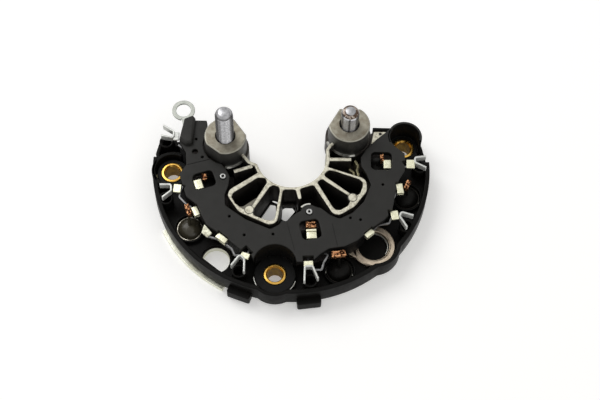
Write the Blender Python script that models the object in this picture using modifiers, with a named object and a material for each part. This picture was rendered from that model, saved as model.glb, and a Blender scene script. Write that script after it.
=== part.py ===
"""Alternator rectifier: two aluminium heat sinks, a moulded frame and a moulded terminal carrier,
six press-fit diodes, three phase bars with stator clips, two output studs and three mounting bushes.

All sizes are in millimetres; the mesh helpers turn them into metres. Places are measured from the
axis of the alternator shaft, at the underside of the part, and angles in degrees anticlockwise from
+X. At the end the whole part is moved so that the origin is the bottom centre of its outline. +Z
points out of the alternator, and the open side of the horseshoe faces +Y.
"""

import math

import bmesh
import bpy
from mathutils import Vector

MM = 0.001

# Clearances between neighbours
GAP = 0.3
FIT = 0.25

# Fineness of round stretches
SAGITTA = 0.18
LARGEST_STEP = 45.0
TURNED_STEPS = 18
BOSS_STEPS = 24
SMALL_STEPS = 12
OVERLAP = 0.4

# Where the shaft axis ends up, seen from the origin
SHAFT_AXIS = (0.1843, 17.5623)

# Levels, from the underside up
NEGATIVE_THICKNESS = 3.5
FLANGE_THICKNESS = 1.6
FLANGE_REACH = 1.5
FLANGE_ROUND = (207.0, 243.0)
FRAME_FLOOR = 1.4
POSITIVE_THICKNESS = 2.4
RIM_BOTTOM = 2.0
RIM_TOP = 12.0
CARRIER_TOP = 20.0
CARRIER_THICKNESS = 2.8
FIN_TOP = 21.0
BOSS_TOP = 28.0
BAR_THICKNESS = 1.0

FRAME_BOTTOM = NEGATIVE_THICKNESS + GAP
FRAME_TOP = FRAME_BOTTOM + FRAME_FLOOR
POSITIVE_BOTTOM = FRAME_TOP + GAP
POSITIVE_TOP = POSITIVE_BOTTOM + POSITIVE_THICKNESS
CARRIER_BOTTOM = CARRIER_TOP - CARRIER_THICKNESS
SKIRT_BOTTOM = POSITIVE_TOP + GAP
BAR_TOP = CARRIER_BOTTOM - GAP
BAR_BOTTOM = BAR_TOP - BAR_THICKNESS

# Outline of the horseshoe
RIM_RADIUS = 62.8
RIM_WALL = 2.1
BAY_RADIUS = 15.7
BAY_WALL = 1.6
POSITIVE_RADIUS = 47.4
RIM_START = 177.0
RIM_END = 363.0

# How far the lower layers stay back from the bay, and the fillets of their ends
BAY_BACK = 1.7
END_FILLET = 2.5

# Plan points below were measured on the real part, where the rim and the bay have these radii
MEASURED_RIM = 62.8
MEASURED_BAY = 15.7


def by_rim(place):
    """A measured point that keeps its distance from the rim."""
    x, y = place
    share = 1 + (RIM_RADIUS - MEASURED_RIM) / math.hypot(x, y)
    return (x * share, y * share)


def by_bay(place):
    """A measured point that keeps its distance from the bay."""
    x, y = place
    share = 1 + (BAY_RADIUS - MEASURED_BAY) / math.hypot(x, y)
    return (x * share, y * share)


def between(place):
    """A measured point that keeps its place between the bay and the rim."""
    x, y = place
    radius = math.hypot(x, y)
    stretch = (RIM_RADIUS - BAY_RADIUS) / (MEASURED_RIM - MEASURED_BAY)
    share = (BAY_RADIUS + (radius - MEASURED_BAY) * stretch) / radius
    return (x * share, y * share)


def lay(places):
    return [between(place) for place in places]


def lay_bay(places):
    return [by_bay(place) for place in places]


def lay_boxes(boxes):
    """Boxes as (x, y, length, width, turn), with their places laid out."""
    return [(*between(box[:2]), *box[2:]) for box in boxes]


def lay_diodes(diodes):
    """Diodes as (seat, weld, turn of the weld), with their places laid out."""
    return {side: (between(seat), between(weld), turn) for side, (seat, weld, turn) in diodes.items()}


def lay_paths(sides):
    return {side: [lay(path) for path in paths] for side, paths in sides.items()}


# Mounting holes, as (x, y)
BUSH_PLACES = {"left": (-53.8, -3.3), "front": (-6.2, -52.5), "right": (51.0, 11.6)}
BUSH_CENTERS = {side: by_rim(place) for side, place in BUSH_PLACES.items()}
BUSH_RADIUS = 4.95
BUSH_BORE = 3.4
BUSH_TOP_ABOVE_PLATE = 1.3
SLEEVE_WALL = 0.7
SLEEVE_RADIUS = BUSH_RADIUS + FIT + SLEEVE_WALL
WASHER_RADIUS = {"left": 6.9, "front": 9.0, "right": 6.5}
WASHER_THICKNESS = 0.6
WELL_WALL = 1.0
FRONT_WELL_WALL = 1.5
FRONT_WELL_ROOM = 0.4
RIGHT_WELL_ROUND = (-14.0, 204.0)

# Other holes of the lower layers
RING_LUG_CENTER = by_rim((37.0, -37.3))
RING_LUG_HOLE = 6.9
RING_LUG_WALL = 2.9
PASSAGE_CENTER = by_rim((-32.4, -44.0))
PASSAGE_RADIUS = 6.8
PASSAGE_ROUND = (-68.0, 172.0)
PASSAGE_LEDGE = 0.8
VENT_LEFT = ((-13.2, -25.6), (-12.8, -12.0), (-6.6, -14.5), (-6.3, -25.6))
VENT_RIGHT = ((-4.2, -25.8), (-4.2, -15.0), (2.1, -15.0), (2.1, -25.8))
VENT_FILLET = 1.5

# Diodes
DIODE_RADIUS = 5.8
DIODE_LIFT = 0.2
DIODE_HEIGHT = 6.2
DIODE_DOME = 3.4
DIODE_DOME_RADIUS = 5.3
DIODE_LEAD_RADIUS = 0.75
NEGATIVE_DIODES = lay_diodes(
    {
        "left": ((-44.6, -30.2), (-45.2, -26.8), -35.0),
        "front": ((22.0, -49.1), (21.1, -46.6), 12.0),
        "right": ((52.3, -12.4), (51.9, -12.2), -75.0),
    }
)
POSITIVE_DIODES = lay_diodes(
    {
        "left": ((-38.2, -10.9), (-38.8, -9.2), 80.0),
        "front": ((9.6, -36.7), (9.0, -33.1), 12.0),
        "right": ((38.6, 0.2), (40.2, 2.2), 95.0),
    }
)
NUGGET = (3.2, 2.3, 3.0)
NUGGET_TOP = {"negative": 18.6, "positive": 16.95}

# Positive heat sink
LEFT_BOSS = by_bay((-29.6, 5.8))
RIGHT_BOSS = by_bay((25.6, 13.1))
BOSS_RADIUS = 9.45
BOSS_FLANGE_RADIUS = 10.4
BOSS_FLANGE_TOP = 16.5
BOSS_EDGE = 0.5
BOSS_FLATS = {"left": ((233.5, 8.6), (35.7, 8.1)), "right": ((151.0, 7.8), (90.0, 8.0))}
# Fins and lobes: one outline that starts and ends in the bay wall, and four closed pockets
COMB = (
    ((-14.6, -8.6), 0.1),
    ((-27.9, -18.9), 3.0),
    ((-27.2, -24.7), 2.2),
    ((-19.2, -30.1), 6.0),
    ((-7.4, -35.2), 2.8),
    ((-3.3, -17.0), 1.4),
    ((2.1, -17.0), 1.2),
    ((3.3, -21.9), 0.6),
    ((4.9, -21.5), 0.6),
    ((4.1, -16.5), 1.2),
    ((9.8, -14.6), 1.4),
    ((18.4, -28.2), 2.4),
    ((22.7, -28.5), 2.4),
    ((30.7, -21.9), 4.0),
    ((34.3, -11.5), 2.6),
    ((15.9, -5.2), 0.1),
)
POCKETS = (
    ((-13.9, -10.6), (-10.1, -12.7), (-15.2, -21.2), (-21.9, -26.1), (-26.6, -22.6), (-26.3, -20.3)),
    ((-9.3, -15.3), (-5.0, -15.6), (-7.9, -32.4), (-11.4, -32.5), (-16.2, -29.4), (-15.9, -26.2)),
    ((11.2, -12.7), (13.7, -11.3), (24.6, -19.0), (25.5, -21.8), (21.9, -26.4), (19.2, -25.9)),
    ((14.7, -8.0), (17.2, -7.0), (31.7, -12.3), (29.6, -18.3), (25.4, -18.4), (14.9, -10.4)),
)
POCKET_FILLET = 1.5
OPEN_POCKET_FLOOR = ((5.2, -18.2), (9.4, -16.9), (12.4, -21.6), (5.8, -21.9))
VENT_FRONT_FLOOR = ((-4.2, -25.8), (-3.2, -17.7), (2.0, -17.9), (2.1, -25.8))
GUARD_TOP = 14.0
GUARD_WIDTH = 1.2
LUG_EXTRA = {"left": 0.3, "front": 0.6, "right": 0.4}
LUG_ROOT = 4.0
LUG_ARM = 1.6
RIVET_CENTERS = {"left": by_bay((-30.2, -10.7)), "front": by_bay((8.3, -27.4))}
RIVET_PILLAR = 1.8
RIVET_SHANK = 1.0
RIVET_HEAD = 1.55
RIVET_BORE = 0.55
RIVET_GRIP = 3.5
RIVET_HEAD_HEIGHT = 0.5
LIP_RADIUS = 4.5
LIP_WIDTH = 0.9
LIP_BELOW_CARRIER = 1.0
LIP_ROUND = (145.0, 84.0)

# Output studs
STUD_RADIUS = 4.0
STUD_HEAD_RADIUS = 6.6
STUD_HEAD_HEIGHT = 2.0
STUD_COUNTERBORE = 4.55
STUD_COUNTERBORE_DEPTH = 1.6
LONG_STUD_ABOVE_BOSS = 21.5
SHORT_STUD_ABOVE_BOSS = 14.2

# Insulator frame
TUBE_CENTERS = [by_rim(place) for place in (
    (-57.2, 11.0),
    (-55.6, -17.9),
    (-21.8, -52.6),
    (9.2, -56.4),
    (51.4, -29.2),
    (58.0, 0.6),
)]
TUBE_RADIUS = 3.2
TUBE_BORE = 2.3
TUBE_TOP = RIM_TOP + 0.2
RIM_SWELL = {"left": 2.4, "front": 2.4}
RIM_HOLLOW = {"left": 0.7, "front": 0.9}
RING_SWELL = 2.2
RING_HOLLOW = 0.5
CUP_ROOM = 1.5
CUP_WALL = 1.6
LEFT_END_TOP = RIM_TOP - 0.8
RIGHT_END_TOP = RIM_TOP - 4.2
TAB_WIDTH = 10.6
TAB_REACH = 3.0
TAB_BOTTOM = 1.0
TAB_TOP = 6.5
TAB_ANGLES = (250.2, 278.0)

# Stator clips: (vertex, first arm end, second arm end, seat on the phase bar)
CLIP_HEIGHT = 3.4
CLIP_THICKNESS = 0.9
CLIP_TOP = 18.8
CLIPS = [lay(places) for places in (
    ((-53.9, 12.0), (-58.9, 15.2), (-59.6, 10.4), (-52.4, 7.9)),
    ((-52.4, -15.2), (-58.7, -13.9), (-57.0, -20.4), (-49.6, -16.6)),
    ((-20.4, -48.6), (-24.9, -53.9), (-19.2, -56.3), (-18.9, -47.2)),
    ((8.2, -52.9), (6.5, -60.0), (12.6, -59.0), (8.1, -50.6)),
    ((48.2, -26.9), (54.3, -27.0), (50.9, -33.3), (45.2, -27.4)),
    ((55.1, -0.2), (60.2, 2.9), (60.2, -3.4), (52.5, -1.9)),
)]
CLIP_SEAT = 4.2
CLIP_LINK_PAST = 1.2

# Phase bars: where each runs under the carrier, and its folded tabs as (x, y, length, width, turn)
BAR_WIDTH = 1.8
BAR_PATHS = lay_paths(
    {
        "left": (
            ((-51.2, 6.8), (-46.4, 3.2), (-45.2, -5.0), (-47.0, -12.4), (-48.9, -16.6)),
            ((-48.9, -16.6), (-49.2, -19.6), (-46.4, -22.6), (-42.0, -25.8)),
            ((-46.9, -12.0), (-42.2, -13.6)),
        ),
        "front": (
            ((-36.6, -38.4), (-30.2, -39.9), (-25.0, -44.2), (-23.6, -47.4), (-18.6, -47.0), (-15.6, -41.6)),
            ((-15.6, -41.6), (-6.0, -39.2), (3.6, -42.4), (8.0, -45.4), (8.1, -50.4)),
            ((8.0, -45.4), (9.5, -39.4)),
            ((8.0, -45.4), (12.6, -44.0), (16.8, -46.2), (14.8, -50.0), (14.0, -53.4), (11.0, -53.4)),
        ),
        "right": (
            ((34.4, -36.2), (38.4, -31.4), (43.4, -30.4), (44.6, -27.4), (44.2, -21.0), (47.2, -14.4)),
            ((47.2, -14.4), (46.6, -7.6), (49.6, -2.4), (52.4, -1.9)),
            ((46.6, -7.6), (44.0, -2.4)),
        ),
    }
)
TAB_BOXES = {
    "left": ((-41.0, -13.9, 4.4, 4.6, 20.0), (-41.2, -27.8, 3.6, 5.2, -32.0)),
    "front": ((9.5, -37.9, 5.0, 3.4, 12.0), (-29.6, -39.9, 5.6, 2.6, -38.0), (-36.3, -37.6, 4.4, 3.6, -42.0)),
    "right": ((43.0, -1.8, 3.6, 4.3, 1.0), (48.0, -14.3, 3.4, 4.9, -22.0), (34.6, -36.2, 4.6, 2.2, 42.0)),
}
TABS = {side: lay_boxes(boxes) for side, boxes in TAB_BOXES.items()}
TAB_LEAF = 0.8
TAB_TOP_LEVEL = 18.4

# Terminal carrier: window as (x, y, length, width, turn)
WINDOWS = lay_boxes((
    (-38.4, -12.4, 9.2, 8.0, 20.0),
    (8.9, -35.7, 8.6, 9.2, 13.0),
    (40.2, -1.1, 9.3, 9.0, 0.0),
))
WINDOW_FILLET = 2.0
PIN_HOLES = lay((
    (-43.1, 8.2),
    (-39.8, -0.9),
    (-26.6, -30.1),
    (-19.8, -39.0),
    (-7.3, -38.3),
    (26.3, -29.7),
    (30.7, -30.5),
    (40.7, -13.0),
))
PIN_HOLE_RADIUS = 0.6
FINGER = lay(((-48.8, 17.9), (-44.9, 19.6), (-43.8, 18.0), (-44.4, 5.0), (-47.6, 4.6), (-50.6, 7.0)))
FINGER_HEIGHT = 2.4
SKIRT_WALL = 1.4
SKIRT_INSET = 1.1
JOINT_ENDS = (((-46.3, -5.0), (-35.6, -1.8)), ((-1.3, -32.9), (2.2, -46.0)), ((18.4, -33.0), (21.0, -45.0)))
JOINT_LINES = [lay(line) for line in JOINT_ENDS]
JOINT_WIDTH = 0.4
JOINT_DEPTH = 0.4

# Ring terminal
EYELET_CENTER = between((-50.0, 25.4))
EYELET_RADIUS = 5.3
EYELET_HOLE = 3.35
EYELET_THICKNESS = 0.8
EYELET_TONGUE = 4.2
EYELET_ROOT = between((-46.0, 10.4))

# Colours as (red, green, blue), roughness, metallic
CAST_ALUMINIUM = ((0.62, 0.60, 0.57), 0.45, 1.0)
SHEET_ALUMINIUM = ((0.68, 0.67, 0.64), 0.35, 1.0)
BLACK_MOULDING = ((0.035, 0.035, 0.033), 0.5, 0.0)
GLOSSY_MOULDING = ((0.015, 0.015, 0.015), 0.3, 0.0)
BRASS = ((0.78, 0.52, 0.20), 0.3, 1.0)
ZINC = ((0.75, 0.75, 0.74), 0.25, 1.0)
TINNED = ((0.86, 0.84, 0.76), 0.3, 1.0)
DIODE_CASE = ((0.10, 0.09, 0.08), 0.35, 0.3)


def clear_scene():
    """Removes whatever the open file holds."""
    for obj in list(bpy.data.objects):
        bpy.data.objects.remove(obj, do_unlink=True)
    for collection in list(bpy.data.collections):
        bpy.data.collections.remove(collection)


def make_collection(name):
    collection = bpy.data.collections.new(name)
    bpy.context.scene.collection.children.link(collection)
    return collection


def make_material(name, finish):
    """A plain metal or plastic surface for one piece."""
    color, roughness, metallic = finish
    material = bpy.data.materials.new(name)
    material.use_nodes = True
    shader = material.node_tree.nodes["Principled BSDF"]
    shader.inputs["Base Color"].default_value = (*color, 1.0)
    shader.inputs["Roughness"].default_value = roughness
    shader.inputs["Metallic"].default_value = metallic
    return material


def polar(radius, angle, center=(0.0, 0.0)):
    turn = math.radians(angle)
    return (center[0] + radius * math.cos(turn), center[1] + radius * math.sin(turn))


def arc(center, radius, start, end):
    """Points along an arc, with chords that stay within SAGITTA of it."""
    step = min(LARGEST_STEP, 2 * math.degrees(math.acos(1 - SAGITTA / max(radius, 2 * SAGITTA))))
    count = max(2, math.ceil(abs(end - start) / step))
    return [polar(radius, start + (end - start) * i / count, center) for i in range(count + 1)]


def circle(center, radius):
    return arc(center, radius, 0.0, 360.0)[:-1]


def fillet(before, corner, after, radius):
    """The corner as an arc that touches both of its sides."""
    here = Vector(corner)
    to_before = (Vector(before) - here).normalized()
    to_after = (Vector(after) - here).normalized()
    half = to_before.angle(to_after) / 2
    shorter = min((Vector(before) - here).length, (Vector(after) - here).length)
    reach = min(radius / math.tan(half), 0.45 * shorter)
    true_radius = reach * math.tan(half)
    middle = here + (to_before + to_after).normalized() * (true_radius / math.sin(half))
    first = here + to_before * reach - middle
    last = here + to_after * reach - middle
    start = math.degrees(math.atan2(first.y, first.x))
    turn = (math.degrees(math.atan2(last.y, last.x)) - start + 180.0) % 360.0 - 180.0
    return arc(tuple(middle), true_radius, start, start + turn)


def rounded(corners, radius, closed=True):
    """The outline through these corners, each taken off by an arc."""
    points = []
    count = len(corners)
    for i, corner in enumerate(corners):
        if not closed and i in (0, count - 1):
            points.append(corner)
            continue
        points += fillet(corners[i - 1], corner, corners[(i + 1) % count], radius)
    return points


def stroke(path, width):
    """The outline of a band of this width along an open path."""
    points = [Vector(point) for point in path]
    legs = [(after - before).normalized() for before, after in zip(points, points[1:])]
    left, right = [], []
    for point, before, after in zip(points, legs[:1] + legs, legs + legs[-1:]):
        along = (before + after).normalized()
        offset = Vector((-along.y, along.x)) * (width / 2 / along.dot(after))
        left.append(tuple(point + offset))
        right.append(tuple(point - offset))
    return left + right[::-1]


def turned_box(x, y, length, width, turn, radius=0.5):
    """A rectangle about (x, y), turned by this angle, with small corner radii."""
    along = Vector(polar(length / 2, turn))
    across = Vector(polar(width / 2, turn + 90.0))
    middle = Vector((x, y))
    ways = (along + across, across - along, -along - across, along - across)
    return rounded([tuple(middle + way) for way in ways], radius)


def edge_with_lugs(radius, lugs, start, end):
    """An arc about the shaft axis that swells round each lug, given as (centre, radius)."""
    points = []
    at = start
    for center, lug in sorted(lugs, key=lambda entry: math.atan2(entry[0][1], entry[0][0]) % math.tau):
        distance = math.hypot(*center)
        bearing = math.degrees(math.atan2(center[1], center[0])) % 360.0
        bearing += 360.0 if bearing < start - 90.0 else 0.0
        half = math.degrees(math.acos((radius**2 + distance**2 - lug**2) / (2 * radius * distance)))
        points += arc((0.0, 0.0), radius, at, bearing - half)
        meet = Vector(polar(radius, bearing - half)) - Vector(center)
        lean = (math.degrees(math.atan2(meet.y, meet.x)) - bearing) % 360.0 - 360.0
        points += arc(center, lug, bearing + lean, bearing - lean)[1:-1]
        at = bearing + half
    return points + arc((0.0, 0.0), radius, at, end)


def toward_axis(points, amount):
    """The same points, drawn in towards the shaft axis."""
    moved = []
    for x, y in points:
        share = 1 - amount / math.hypot(x, y)
        moved.append((x * share, y * share))
    return moved


def add_mesh(name, mesh, collection):
    obj = bpy.data.objects.new(name, mesh)
    collection.objects.link(obj)
    if collection is helpers:
        obj.hide_render = True
        obj.display_type = "WIRE"
    return obj


def plate(name, outline, bottom, top, holes=(), collection=None):
    """A flat outline with holes, between two levels."""
    curve = bpy.data.curves.new(name, "CURVE")
    curve.dimensions = "2D"
    curve.fill_mode = "BOTH"
    curve.extrude = (top - bottom) / 2 * MM
    spline = curve.splines.new("POLY")
    spline.points.add(len(outline) - 1)
    for point, (x, y) in zip(spline.points, outline):
        point.co = (x * MM, y * MM, 0.0, 1.0)
    spline.use_cyclic_u = True
    drawn = bpy.data.objects.new(name, curve)
    bpy.context.scene.collection.objects.link(drawn)
    graph = bpy.context.evaluated_depsgraph_get()
    mesh = bpy.data.meshes.new_from_object(drawn.evaluated_get(graph))
    bpy.data.objects.remove(drawn, do_unlink=True)
    bpy.data.curves.remove(curve)
    shape = bmesh.new()
    shape.from_mesh(mesh)
    bmesh.ops.remove_doubles(shape, verts=shape.verts, dist=1e-6)
    bmesh.ops.translate(shape, verts=shape.verts, vec=(0.0, 0.0, (bottom + top) / 2 * MM))
    bmesh.ops.recalc_face_normals(shape, faces=shape.faces)
    shape.to_mesh(mesh)
    shape.free()
    mesh.name = name
    obj = add_mesh(name, mesh, collection or helpers)
    for index, hole in enumerate(holes, 1):
        cut(obj, plate(f"{name}_hole_{index}", hole, bottom - 1.0, top + 1.0))
    return obj


def turned(name, profile, center, collection=None, steps=TURNED_STEPS):
    """A solid of revolution: the profile runs down its outer side, as (radius, level)."""
    mesh = bpy.data.meshes.new(name)
    points = [(radius * MM, 0.0, level * MM) for radius, level in profile]
    edges = [(i, i + 1) for i in range(len(points) - 1)]
    if points[0] == points[-1]:
        points.pop()
        edges[-1] = (len(points) - 1, 0)
    mesh.from_pydata(points, edges, [])
    obj = add_mesh(name, mesh, collection or helpers)
    obj.location = (center[0] * MM, center[1] * MM, 0.0)
    screw = obj.modifiers.new("Turn", "SCREW")
    screw.steps = steps
    screw.render_steps = steps
    screw.use_merge_vertices = True
    screw.merge_threshold = 1e-6
    screw.use_normal_calculate = False
    return obj


def combine(target, others, operation):
    """Joins the others to the target, or cuts them from it, one after another."""
    for other in others:
        boolean = target.modifiers.new(f"{operation.title()} {other.name}", "BOOLEAN")
        boolean.operation = operation
        boolean.object = other
    return target


def join(target, *others):
    return combine(target, others, "UNION")


def cut(target, *others):
    return combine(target, others, "DIFFERENCE")


def finish_piece(obj, finish):
    """Gives a piece its material and smooth shading on round faces."""
    obj.data.materials.clear()
    obj.data.materials.append(make_material(obj.name + "_surface", finish))
    obj.data.shade_smooth()
    if len(obj.data.polygons):
        obj.data.set_sharp_from_angle(angle=math.radians(35.0))
    return obj


def sleeve_holes():
    return [circle(center, SLEEVE_RADIUS + FIT) for center in BUSH_CENTERS.values()]


def passage(shrink=0.0):
    """The D-shaped way through the lower layers: round, with a flat side along the rim."""
    return arc(PASSAGE_CENTER, PASSAGE_RADIUS - shrink, *PASSAGE_ROUND)


def vents():
    return [rounded(lay_bay(vent), VENT_FILLET) for vent in (VENT_LEFT, VENT_RIGHT)]


def make_negative_heat_sink():
    """The lower plate, with a thinner flange that shows outside the frame at the left front."""
    radius = RIM_RADIUS - RIM_WALL - GAP
    right_side = lay([(58.4, 12.0), (56.6, 21.2), (37.2, 21.2), (33.6, 9.0), (24.0, 1.6), (17.6, -1.0)])
    right_end = rounded([polar(radius, RIM_END)] + right_side, END_FILLET, False)
    left_side = lay([(-18.6, -1.4), (-26.0, 1.0), (-37.0, 15.0), (-46.0, 17.0), (-58.0, 11.4)])
    left_end = rounded(left_side + [polar(radius, RIM_START)], END_FILLET, False)
    outer = arc((0.0, 0.0), radius, RIM_START, RIM_END)
    bay = arc((0.0, 0.0), BAY_RADIUS + BAY_BACK + GAP, 355.0, 187.0)
    outline = outer[1:-1] + right_end + bay + left_end
    holes = [circle(center, BUSH_RADIUS + FIT) for center in BUSH_CENTERS.values()]
    holes += vents() + [passage(PASSAGE_LEDGE)]
    holes += [circle(seat, DIODE_RADIUS + FIT) for seat, _, _ in NEGATIVE_DIODES.values()]
    sink = plate("negative_heat_sink", outline, 0.0, NEGATIVE_THICKNESS, holes, parts)
    start, end = FLANGE_ROUND
    edge = arc((0.0, 0.0), RIM_RADIUS + FLANGE_REACH, start, end)
    root = arc((0.0, 0.0), radius - OVERLAP, end, start)
    join(sink, plate("flange", edge + root, 0.0, FLANGE_THICKNESS))
    return finish_piece(sink, SHEET_ALUMINIUM)


def rim_lugs(extra, ring_extra):
    """The swellings of the rim: round the left and front holes and round the ring lug."""
    lugs = [(BUSH_CENTERS[side], WASHER_RADIUS[side] + extra[side]) for side in extra]
    return lugs + [(RING_LUG_CENTER, RING_LUG_HOLE + RING_LUG_WALL + ring_extra)]


def make_insulator_frame():
    """The black moulding between the plates: floor, rim wall with bulges, wells, wire tubes and tabs."""
    outside = edge_with_lugs(RIM_RADIUS, rim_lugs(RIM_SWELL, RING_SWELL), RIM_START, RIM_END)
    inner_lugs = rim_lugs(RIM_HOLLOW, RING_HOLLOW)
    inside = edge_with_lugs(RIM_RADIUS - RIM_WALL, inner_lugs, RIM_START, RIM_END)
    middle_lugs = [(center, radius - RIM_WALL * 0.4) for center, radius in rim_lugs(RIM_SWELL, RING_SWELL)]
    middle = edge_with_lugs(RIM_RADIUS - RIM_WALL / 2, middle_lugs, RIM_START, RIM_END)
    right_side = [(60.6, 4.0), (58.6, 13.0), (56.8, 22.3), (37.0, 22.3), (33.4, 9.2), (23.8, 1.8), (17.6, -0.6)]
    left_side = [(-18.4, -1.0), (-26.0, 1.4), (-37.2, 15.4), (-46.0, 17.4), (-58.0, 12.6), (-60.6, 3.6)]
    ends = [rounded(lay(side), END_FILLET, False) for side in (right_side, left_side)]
    bay = arc((0.0, 0.0), BAY_RADIUS + BAY_BACK, 356.0, 186.0)
    holes = sleeve_holes() + vents() + [passage()]
    holes += [circle(seat, DIODE_RADIUS + FIT) for seat, _, _ in NEGATIVE_DIODES.values()]
    holes += [circle(seat, DIODE_RADIUS + FIT) for seat, _, _ in POSITIVE_DIODES.values()]
    outline = middle + ends[0] + bay + ends[1]
    frame = plate("insulator_frame", outline, FRAME_BOTTOM, FRAME_TOP, holes, parts)
    foot = FRAME_BOTTOM + OVERLAP
    walls = [plate("rim_wall", outside + inside[::-1], RIM_BOTTOM, RIM_TOP)]
    cup_path = arc(BUSH_CENTERS["left"], WASHER_RADIUS["left"] + CUP_ROOM, 62.0, 262.0)
    walls.append(plate("left_cup", stroke(cup_path, CUP_WALL), foot, RIM_TOP))
    left_wall = rounded(lay([(-61.0, 5.0), (-59.2, 12.9), (-54.2, 13.6), (-52.0, 9.4)]), 1.2, False)
    walls.append(plate("left_end_wall", stroke(left_wall, CUP_WALL), foot, LEFT_END_TOP))
    right_corners = [(61.6, 2.4), (59.4, 12.0), (57.8, 17.6), (55.8, 22.2), (37.4, 22.3)]
    right_wall = rounded(lay(right_corners), 2.0, False)
    walls.append(plate("right_end_wall", stroke(right_wall, CUP_WALL), foot, RIGHT_END_TOP))
    for index, center in enumerate(TUBE_CENTERS, 1):
        walls.append(plate(f"wire_tube_{index}", circle(center, TUBE_RADIUS), foot, TUBE_TOP))
    for index, angle in enumerate(TAB_ANGLES, 1):
        start = RIM_RADIUS - RIM_WALL / 2
        x, y = polar((start + RIM_RADIUS + TAB_REACH) / 2, angle)
        shape = turned_box(x, y, TAB_REACH + RIM_WALL / 2, TAB_WIDTH, angle, 0.8)
        walls.append(plate(f"front_tab_{index}", shape, TAB_BOTTOM, TAB_TOP))
    join(frame, *walls)
    for index, center in enumerate(TUBE_CENTERS, 1):
        cut(frame, plate(f"wire_way_{index}", circle(center, TUBE_BORE), FRAME_BOTTOM - 1.0, RIM_TOP + 1.0))
    return finish_piece(frame, GLOSSY_MOULDING)


def rib(name, corners, top=FIN_TOP, width=1.7):
    """A thin wall standing on the positive plate along a rounded path."""
    path = rounded(corners, 1.5, False)
    return plate(name, stroke(path, width), POSITIVE_BOTTOM + OVERLAP, top)


def boss(name, center, flats):
    """A stud boss: flange, body with flats, bore with a counterbore, and a pocket for the stud's head."""
    bottom = POSITIVE_BOTTOM + OVERLAP / 4
    head_top = POSITIVE_BOTTOM + STUD_HEAD_HEIGHT + GAP
    seat = BOSS_TOP - STUD_COUNTERBORE_DEPTH
    head, bore = STUD_HEAD_RADIUS + FIT, STUD_RADIUS + FIT
    profile = [(STUD_COUNTERBORE, BOSS_TOP), (BOSS_RADIUS - BOSS_EDGE, BOSS_TOP)]
    profile += [(BOSS_RADIUS, BOSS_TOP - BOSS_EDGE), (BOSS_RADIUS, BOSS_FLANGE_TOP)]
    profile += [(BOSS_FLANGE_RADIUS, BOSS_FLANGE_TOP - 0.4), (BOSS_FLANGE_RADIUS, bottom)]
    profile += [(head, bottom), (head, head_top), (bore, head_top)]
    profile += [(bore, seat), (STUD_COUNTERBORE, seat), (STUD_COUNTERBORE, BOSS_TOP)]
    body = turned(name, profile, center, steps=BOSS_STEPS)
    for index, (angle, distance) in enumerate(flats, 1):
        depth, width = BOSS_RADIUS, 2.5 * BOSS_RADIUS
        x, y = polar(distance + depth / 2, angle, center)
        side = turned_box(x, y, depth, width, angle)
        cut(body, plate(f"{name}_flat_{index}", side, BOSS_FLANGE_TOP + 0.5, BOSS_TOP + 1.0))
    return body


def comb():
    """The outline of the fins and lobes, each corner with its own fillet, closed along the bay wall."""
    corners = lay_bay([corner for corner, _ in COMB])
    points = [corners[0]]
    for i in range(1, len(corners) - 1):
        points += fillet(corners[i - 1], corners[i], corners[i + 1], COMB[i][1])
    points.append(corners[-1])
    radius = BAY_RADIUS + BAY_WALL / 2
    bearings = [math.degrees(math.atan2(y, x)) % 360.0 for x, y in (corners[-1], corners[0])]
    return points + arc((0.0, 0.0), radius, *bearings)


def casting_lugs():
    """The round ears of the casting: at the mounting holes, and the ring lug."""
    lugs = []
    for side, extra in LUG_EXTRA.items():
        lugs.append((f"{side}_lug", BUSH_CENTERS[side], WASHER_RADIUS[side] + extra))
    return lugs + [("ring_lug", RING_LUG_CENTER, RING_LUG_HOLE + RING_LUG_WALL)]


def at_radius(place, radius):
    """The point on the same bearing at this distance from the shaft axis."""
    share = radius / math.hypot(*place)
    return (place[0] * share, place[1] * share)


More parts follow.
